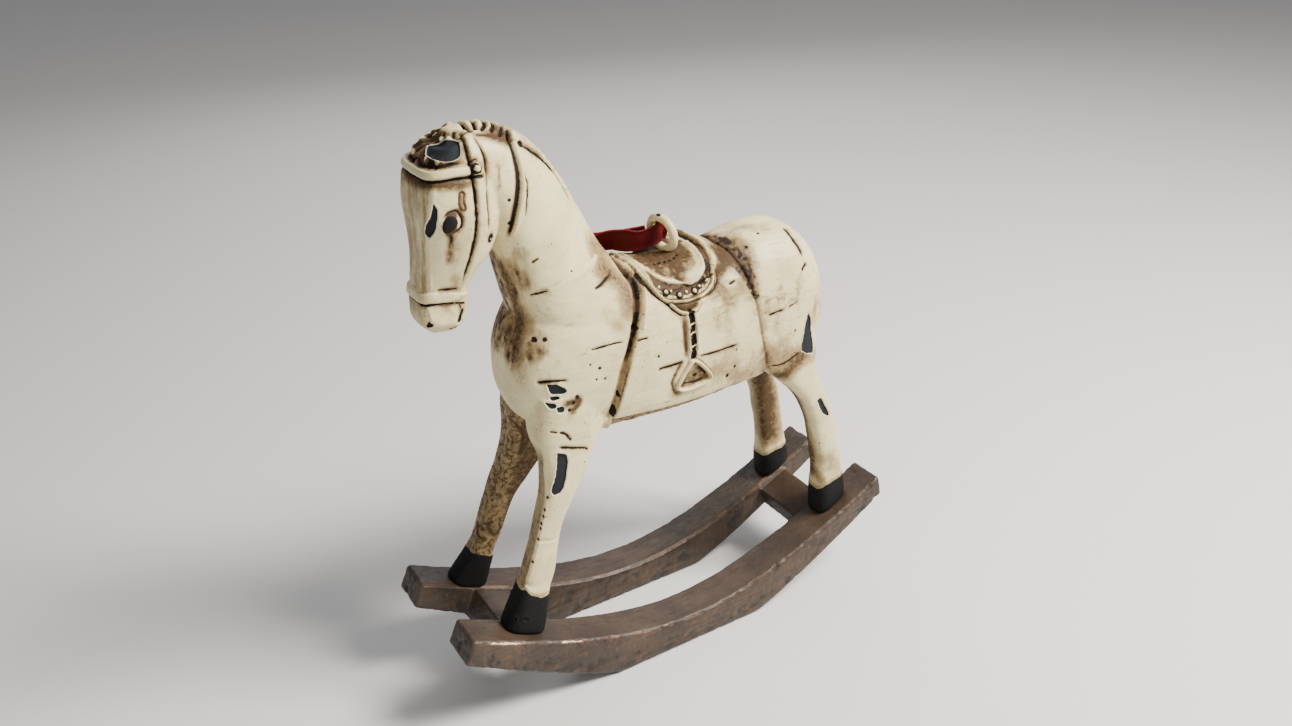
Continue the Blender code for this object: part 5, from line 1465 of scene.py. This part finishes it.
class Nodes:
    # Short ways to add and join nodes in one tree

    def __init__(self, tree):
        self.tree = tree

    def add(self, kind, **settings):
        made = self.tree.nodes.new(kind)
        for name, value in settings.items():
            setattr(made, name, value)
        return made

    def put(self, value, socket):
        if isinstance(value, bpy.types.NodeSocket):
            self.tree.links.new(value, socket)
        else:
            socket.default_value = value

    def math(self, operation, a, b=0.0):
        made = self.add("ShaderNodeMath", operation=operation)
        self.put(a, made.inputs[0])
        self.put(b, made.inputs[1])
        return made.outputs[0]

    def ramp(self, value, low, high, fromValue=0.0, toValue=1.0):
        made = self.add("ShaderNodeMapRange", interpolation_type="SMOOTHSTEP")
        for socket, number in zip(made.inputs, (value, low, high, fromValue, toValue)):
            self.put(number, socket)
        return made.outputs[0]

    def noise(self, vector, scale, detail=3.0, roughness=0.55):
        made = self.add("ShaderNodeTexNoise")
        self.put(vector, made.inputs["Vector"])
        self.put(scale, made.inputs["Scale"])
        self.put(detail, made.inputs["Detail"])
        self.put(roughness, made.inputs["Roughness"])
        return made.outputs["Fac"]

    def stretch(self, vector, scale, turn=(0, 0, 0)):
        made = self.add("ShaderNodeMapping")
        self.put(vector, made.inputs["Vector"])
        made.inputs["Scale"].default_value = scale
        made.inputs["Rotation"].default_value = turn
        return made.outputs[0]

    def mix(self, mask, a, b):
        made = self.add("ShaderNodeMix", data_type="RGBA")
        self.put(mask, made.inputs[0])
        self.put(a, made.inputs[6])
        self.put(b, made.inputs[7])
        return made.outputs[2]

    def mask(self, name):
        return self.add("ShaderNodeAttribute", attribute_name=name).outputs["Fac"]

    def group(self, tree, **values):
        made = self.add("ShaderNodeGroup")
        made.node_tree = tree
        for name, value in values.items():
            self.put(value, made.inputs[name])
        return made.outputs


def newGroup(name, inputs, outputs):
    tree = bpy.data.node_groups.new(name, "ShaderNodeTree")
    for label, kind, value in inputs:
        socket = tree.interface.new_socket(label, in_out="INPUT", socket_type=kind)
        if value is not None:
            socket.default_value = value
    for label, kind in outputs:
        tree.interface.new_socket(label, in_out="OUTPUT", socket_type=kind)
    nodes = Nodes(tree)
    return tree, nodes, nodes.add("NodeGroupInput").outputs, nodes.add("NodeGroupOutput").inputs


def tornWashGroup():
    # Turns a soft mask into one with a torn, brushed edge
    tree, nodes, given, result = newGroup("torn wash", [
        ("Vector", "NodeSocketVector", None), ("Mask", "NodeSocketFloat", 0.0),
        ("Size", "NodeSocketFloat", 400.0), ("Tear", "NodeSocketFloat", 0.5),
        ("Low", "NodeSocketFloat", 0.3), ("High", "NodeSocketFloat", 0.7)],
        [("Mask", "NodeSocketFloat")])
    rough = nodes.noise(given["Vector"], given["Size"], 5.0, 0.68)
    torn = nodes.math("MULTIPLY", nodes.math("SUBTRACT", rough, 0.5), given["Tear"])
    value = nodes.math("ADD", given["Mask"], torn)
    nodes.put(nodes.ramp(value, given["Low"], given["High"]), result["Mask"])
    return tree


def brushedGrainGroup():
    # Fine lines of brush and grain that run along X
    tree, nodes, given, result = newGroup("brushed grain", [
        ("Vector", "NodeSocketVector", None), ("Size", "NodeSocketFloat", 1800.0)],
        [("Grain", "NodeSocketFloat"), ("Fleck", "NodeSocketFloat")])
    lines = nodes.noise(nodes.stretch(given["Vector"], (0.06, 0.6, 1.0)), given["Size"], 3.0, 0.6)
    crossed = nodes.noise(nodes.stretch(given["Vector"], (1.0, 0.6, 0.12)), given["Size"], 2.0, 0.5)
    grain = nodes.math("ADD", nodes.math("MULTIPLY", lines, 0.7), nodes.math("MULTIPLY", crossed, 0.3))
    nodes.put(grain, result["Grain"])
    specks = nodes.noise(given["Vector"], 1700.0, 1.0, 0.4)
    nodes.put(nodes.ramp(specks, 0.72, 0.75), result["Fleck"])
    return tree


def colour(hexCode):
    # A linear colour from the usual six figures
    parts = [int(hexCode[i:i + 2], 16) / 255 for i in (0, 2, 4)]
    return (*[p / 12.92 if p <= 0.04045 else ((p + 0.055) / 1.055) ** 2.4 for p in parts], 1.0)


def colours(paint):
    return {name: colour(code) for name, code in paint["colours"].items()}


def newMaterial(name, roughness):
    material = bpy.data.materials.new(name)
    material.use_nodes = True
    shader = material.node_tree.nodes["Principled BSDF"]
    shader.inputs["Roughness"].default_value = roughness
    return material, Nodes(material.node_tree), shader


def bumped(nodes, shader, height, distance, strength=1.0):
    bump = nodes.add("ShaderNodeBump")
    bump.inputs["Strength"].default_value = strength
    bump.inputs["Distance"].default_value = distance * mm
    nodes.put(height, bump.inputs["Height"])
    nodes.put(bump.outputs[0], shader.inputs["Normal"])


creamPaint = {
    "colours": {
        "cream": "e1d4a4",
        "ivory": "cdbd8e",  # thinner places
        "tan": "866a40",  # thin brown wash, also laid as light painted shade
        "brown": "38220f",
        "deep": "190d06",
        "bare": "111418",
        "bareLight": "20242a",
        "lip": "e9e2c8",
        "hoof": "0a0909",
        "hoofWorn": "191510",
    },
    "brush": 1500.0,  # grains, blotches and the like are counted in a metre
    "blotches": 110.0,
    "thinWashAndShade": {"Size": 520.0, "Tear": 0.9, "Low": 0.12, "High": 0.62},
    "thickWashAndShade": {"Size": 900.0, "Tear": 0.75, "Low": 0.5, "High": 0.92},
    "black": {"Size": 1400.0, "Tear": 0.35, "Low": 0.35, "High": 0.62},
    "thinStrength": 0.8,
    "thickStrength": 0.9,
    "specular": 0.25,
    "gloss": (0.34, 0.52),  # roughness of the brushed paint
    "dull": 0.34,  # added where it is brown, black or bare
    "relief": 0.12,
}


def makeCreamPaint(torn, grainy):
    c = colours(creamPaint)
    material, nodes, shader = newMaterial("aged cream paint", 0.45)
    place = nodes.add("ShaderNodeTexCoord").outputs["Object"]
    grain, fleck = nodes.group(grainy, Vector=place, Size=creamPaint["brush"])[:2]
    stain, dark, chip, hoof = (nodes.mask(name) for name in ("stain", "dark", "chip", "hoof"))
    broad = nodes.noise(place, creamPaint["blotches"], 3.0)
    base = nodes.mix(nodes.ramp(broad, 0.35, 0.75), c["cream"], c["ivory"])
    base = nodes.mix(nodes.ramp(grain, 0.52, 0.75, 0.0, 0.35), base, c["tan"])
    drawn = nodes.stretch(place, (0.7, 1, 0.5))
    thin = nodes.group(torn, Vector=drawn, Mask=stain, **creamPaint["thinWashAndShade"])["Mask"]
    thick = nodes.group(torn, Vector=place, Mask=stain, **creamPaint["thickWashAndShade"])["Mask"]
    base = nodes.mix(nodes.math("MULTIPLY", thin, creamPaint["thinStrength"]), base, c["tan"])
    base = nodes.mix(nodes.math("MULTIPLY", thick, creamPaint["thickStrength"]), base, c["brown"])
    specks = nodes.math("MULTIPLY", fleck, nodes.ramp(broad, 0.45, 0.6, 0.15, 0.9))
    base = nodes.mix(specks, base, c["brown"])
    black = nodes.group(torn, Vector=place, Mask=dark, **creamPaint["black"])["Mask"]
    base = nodes.mix(black, base, c["deep"])
    lip = nodes.math("MULTIPLY", nodes.ramp(chip, -0.2, -0.1, 0.0, 0.6),
                     nodes.math("SUBTRACT", 1.0, nodes.ramp(chip, -0.05, 0.02)))
    base = nodes.mix(lip, base, c["lip"])
    bare = nodes.ramp(chip, -0.03, 0.03)
    bareColour = nodes.mix(nodes.noise(place, 900.0, 2.0), c["bare"], c["bareLight"])
    base = nodes.mix(bare, base, bareColour)
    hoofMask = nodes.ramp(hoof, -0.06, 0.06)
    worn = nodes.math("MULTIPLY", nodes.ramp(nodes.noise(place, 500.0, 4.0), 0.58, 0.72), 0.6)
    base = nodes.mix(hoofMask, base, nodes.mix(worn, c["hoof"], c["hoofWorn"]))
    nodes.put(base, shader.inputs["Base Color"])
    rough = nodes.ramp(grain, 0.3, 0.8, *creamPaint["gloss"])
    dull = nodes.math("MAXIMUM", nodes.math("MAXIMUM", thick, black), nodes.math("MAXIMUM", bare, hoofMask))
    rough = nodes.math("ADD", rough, nodes.math("MULTIPLY", dull, creamPaint["dull"]))
    shader.inputs["Specular IOR Level"].default_value = creamPaint["specular"]
    nodes.put(rough, shader.inputs["Roughness"])
    height = nodes.math("ADD", nodes.math("MULTIPLY", grain, 0.6), nodes.math("MULTIPLY", thick, -0.25))
    bumped(nodes, shader, height, creamPaint["relief"], 0.7)
    return material


brownPaint = {
    "colours": {
        "brown": "31251a",
        "light": "453527",
        "grime": "130d09",
        "copper": "6a442e",
        "pale": "d8c3ac",
    },
    "brush": 1300.0,
    "blotches": 90.0,
    "grime": {"Size": 600.0, "Tear": 0.9, "Low": 0.4, "High": 0.9},
    "copper": {"Size": 900.0, "Tear": 0.8, "Low": 0.25, "High": 0.55},
    "pale": {"Size": 1200.0, "Tear": 0.9, "Low": 0.7, "High": 0.86},
    "gloss": (0.42, 0.68),
    "relief": 0.16,
}


def makeBrownPaint(torn, grainy):
    c = colours(brownPaint)
    material, nodes, shader = newMaterial("brown rocker paint", 0.55)
    place = nodes.add("ShaderNodeTexCoord").outputs["Object"]
    grain, fleck = nodes.group(grainy, Vector=place, Size=brownPaint["brush"])[:2]
    broad = nodes.noise(place, brownPaint["blotches"], 4.0)
    base = nodes.mix(nodes.ramp(broad, 0.35, 0.7), c["brown"], c["light"])
    base = nodes.mix(nodes.ramp(grain, 0.5, 0.72, 0.0, 0.45), base, c["grime"])
    grime = nodes.group(torn, Vector=place, Mask=nodes.mask("grime"), **brownPaint["grime"])["Mask"]
    base = nodes.mix(nodes.math("MULTIPLY", grime, 0.7), base, c["grime"])
    patches = nodes.ramp(nodes.noise(place, 520.0, 5.0, 0.72), 0.52, 0.66)
    side = nodes.math("MULTIPLY", nodes.mask("side"), patches)
    base = nodes.mix(nodes.math("MULTIPLY", side, 0.4), base, c["copper"])
    rub = nodes.mask("rub")
    copper = nodes.group(torn, Vector=place, Mask=rub, **brownPaint["copper"])["Mask"]
    base = nodes.mix(nodes.math("MULTIPLY", copper, 0.65), base, c["copper"])
    pale = nodes.group(torn, Vector=nodes.stretch(place, (0.5, 1, 1)), Mask=rub, **brownPaint["pale"])["Mask"]
    base = nodes.mix(pale, base, c["pale"])
    base = nodes.mix(nodes.math("MULTIPLY", fleck, 0.5), base, c["light"])
    nodes.put(base, shader.inputs["Base Color"])
    nodes.put(nodes.ramp(grain, 0.3, 0.8, *brownPaint["gloss"]), shader.inputs["Roughness"])
    height = nodes.math("ADD", grain, nodes.math("MULTIPLY", nodes.noise(place, 1100.0, 4.0), 0.6))
    bumped(nodes, shader, height, brownPaint["relief"], 0.8)
    return material


redRibbon = {
    "colours": {"red": "5e0004", "valley": "2c0002", "edge": "74060c"},
    "threads": 2600.0,
    "specular": 0.2,
    "relief": 0.05,
}


def makeRedRibbon():
    c = colours(redRibbon)
    material, nodes, shader = newMaterial("red ribbon weave", 0.7)
    place = nodes.add("ShaderNodeTexCoord").outputs["Object"]
    threads = nodes.noise(place, redRibbon["threads"], 2.0)
    base = nodes.mix(nodes.mask("rib"), c["valley"], c["red"])
    base = nodes.mix(nodes.math("MULTIPLY", nodes.mask("edge"), 0.5), base, c["edge"])
    base = nodes.mix(nodes.ramp(threads, 0.4, 0.75, 0.0, 0.35), base, c["valley"])
    nodes.put(base, shader.inputs["Base Color"])
    shader.inputs["Specular IOR Level"].default_value = redRibbon["specular"]
    bumped(nodes, shader, threads, redRibbon["relief"], 0.6)
    return material


# Floor and light

stageSizes = {
    "floor": 6.0,
    "floorColour": "dcdad6",
    "key": (0.28, -0.26, 0.46, 0.20, 9.0),  # place, size of the lamp, power
    "fill": (-0.45, -0.30, 0.30, 0.60, 0.8),
    "back": (0.20, 0.45, 0.40, 0.50, 1.2),
    "aim": (0, 0, 0.07),
    "warm": (1.0, 0.96, 0.9),  # the key lamp's light
    "cool": (0.95, 0.97, 1.0),
    "roomColour": (0.93, 0.94, 1.0, 1),
    "room": 0.26,
    "floorDrop": 0.0002,
}


def makeStage():
    half = stageSizes["floor"] / 2 / mm
    corners = [(-half, -half, 0), (half, -half, 0), (half, half, 0), (-half, half, 0)]
    floor = addObject("floor", corners, [(0, 1, 2, 3)])
    material, _, shader = newMaterial("pale floor", 0.6)
    shader.inputs["Base Color"].default_value = colour(stageSizes["floorColour"])
    floor.data.materials.append(material)
    floor.location.z = -stageSizes["floorDrop"]
    aim = Vector(stageSizes["aim"])
    for name in ("key", "fill", "back"):
        x, y, z, size, power = stageSizes[name]
        lamp = bpy.data.lights.new(name, "AREA")
        lamp.size = size
        lamp.energy = power
        lamp.color = stageSizes["warm" if name == "key" else "cool"]
        item = bpy.data.objects.new(name, lamp)
        item.location = (x, y, z)
        item.rotation_euler = (aim - item.location).to_track_quat("-Z", "Y").to_euler()
        bpy.context.scene.collection.objects.link(item)
    world = bpy.data.worlds.new("soft room")
    bpy.context.scene.world = world
    world.use_nodes = True
    room = world.node_tree.nodes["Background"]
    room.inputs["Color"].default_value = stageSizes["roomColour"]
    room.inputs["Strength"].default_value = stageSizes["room"]
    print("stage: floor, lamps and room")


addCamera()
tornWash, brushedGrain = tornWashGroup(), brushedGrainGroup()
creamMaterial = makeCreamPaint(tornWash, brushedGrain)
makeRibbon(makeRedRibbon())
makeWireEye(creamMaterial)
makeRockers(makeBrownPaint(tornWash, brushedGrain))
makeHorse(creamMaterial)
makeStage()
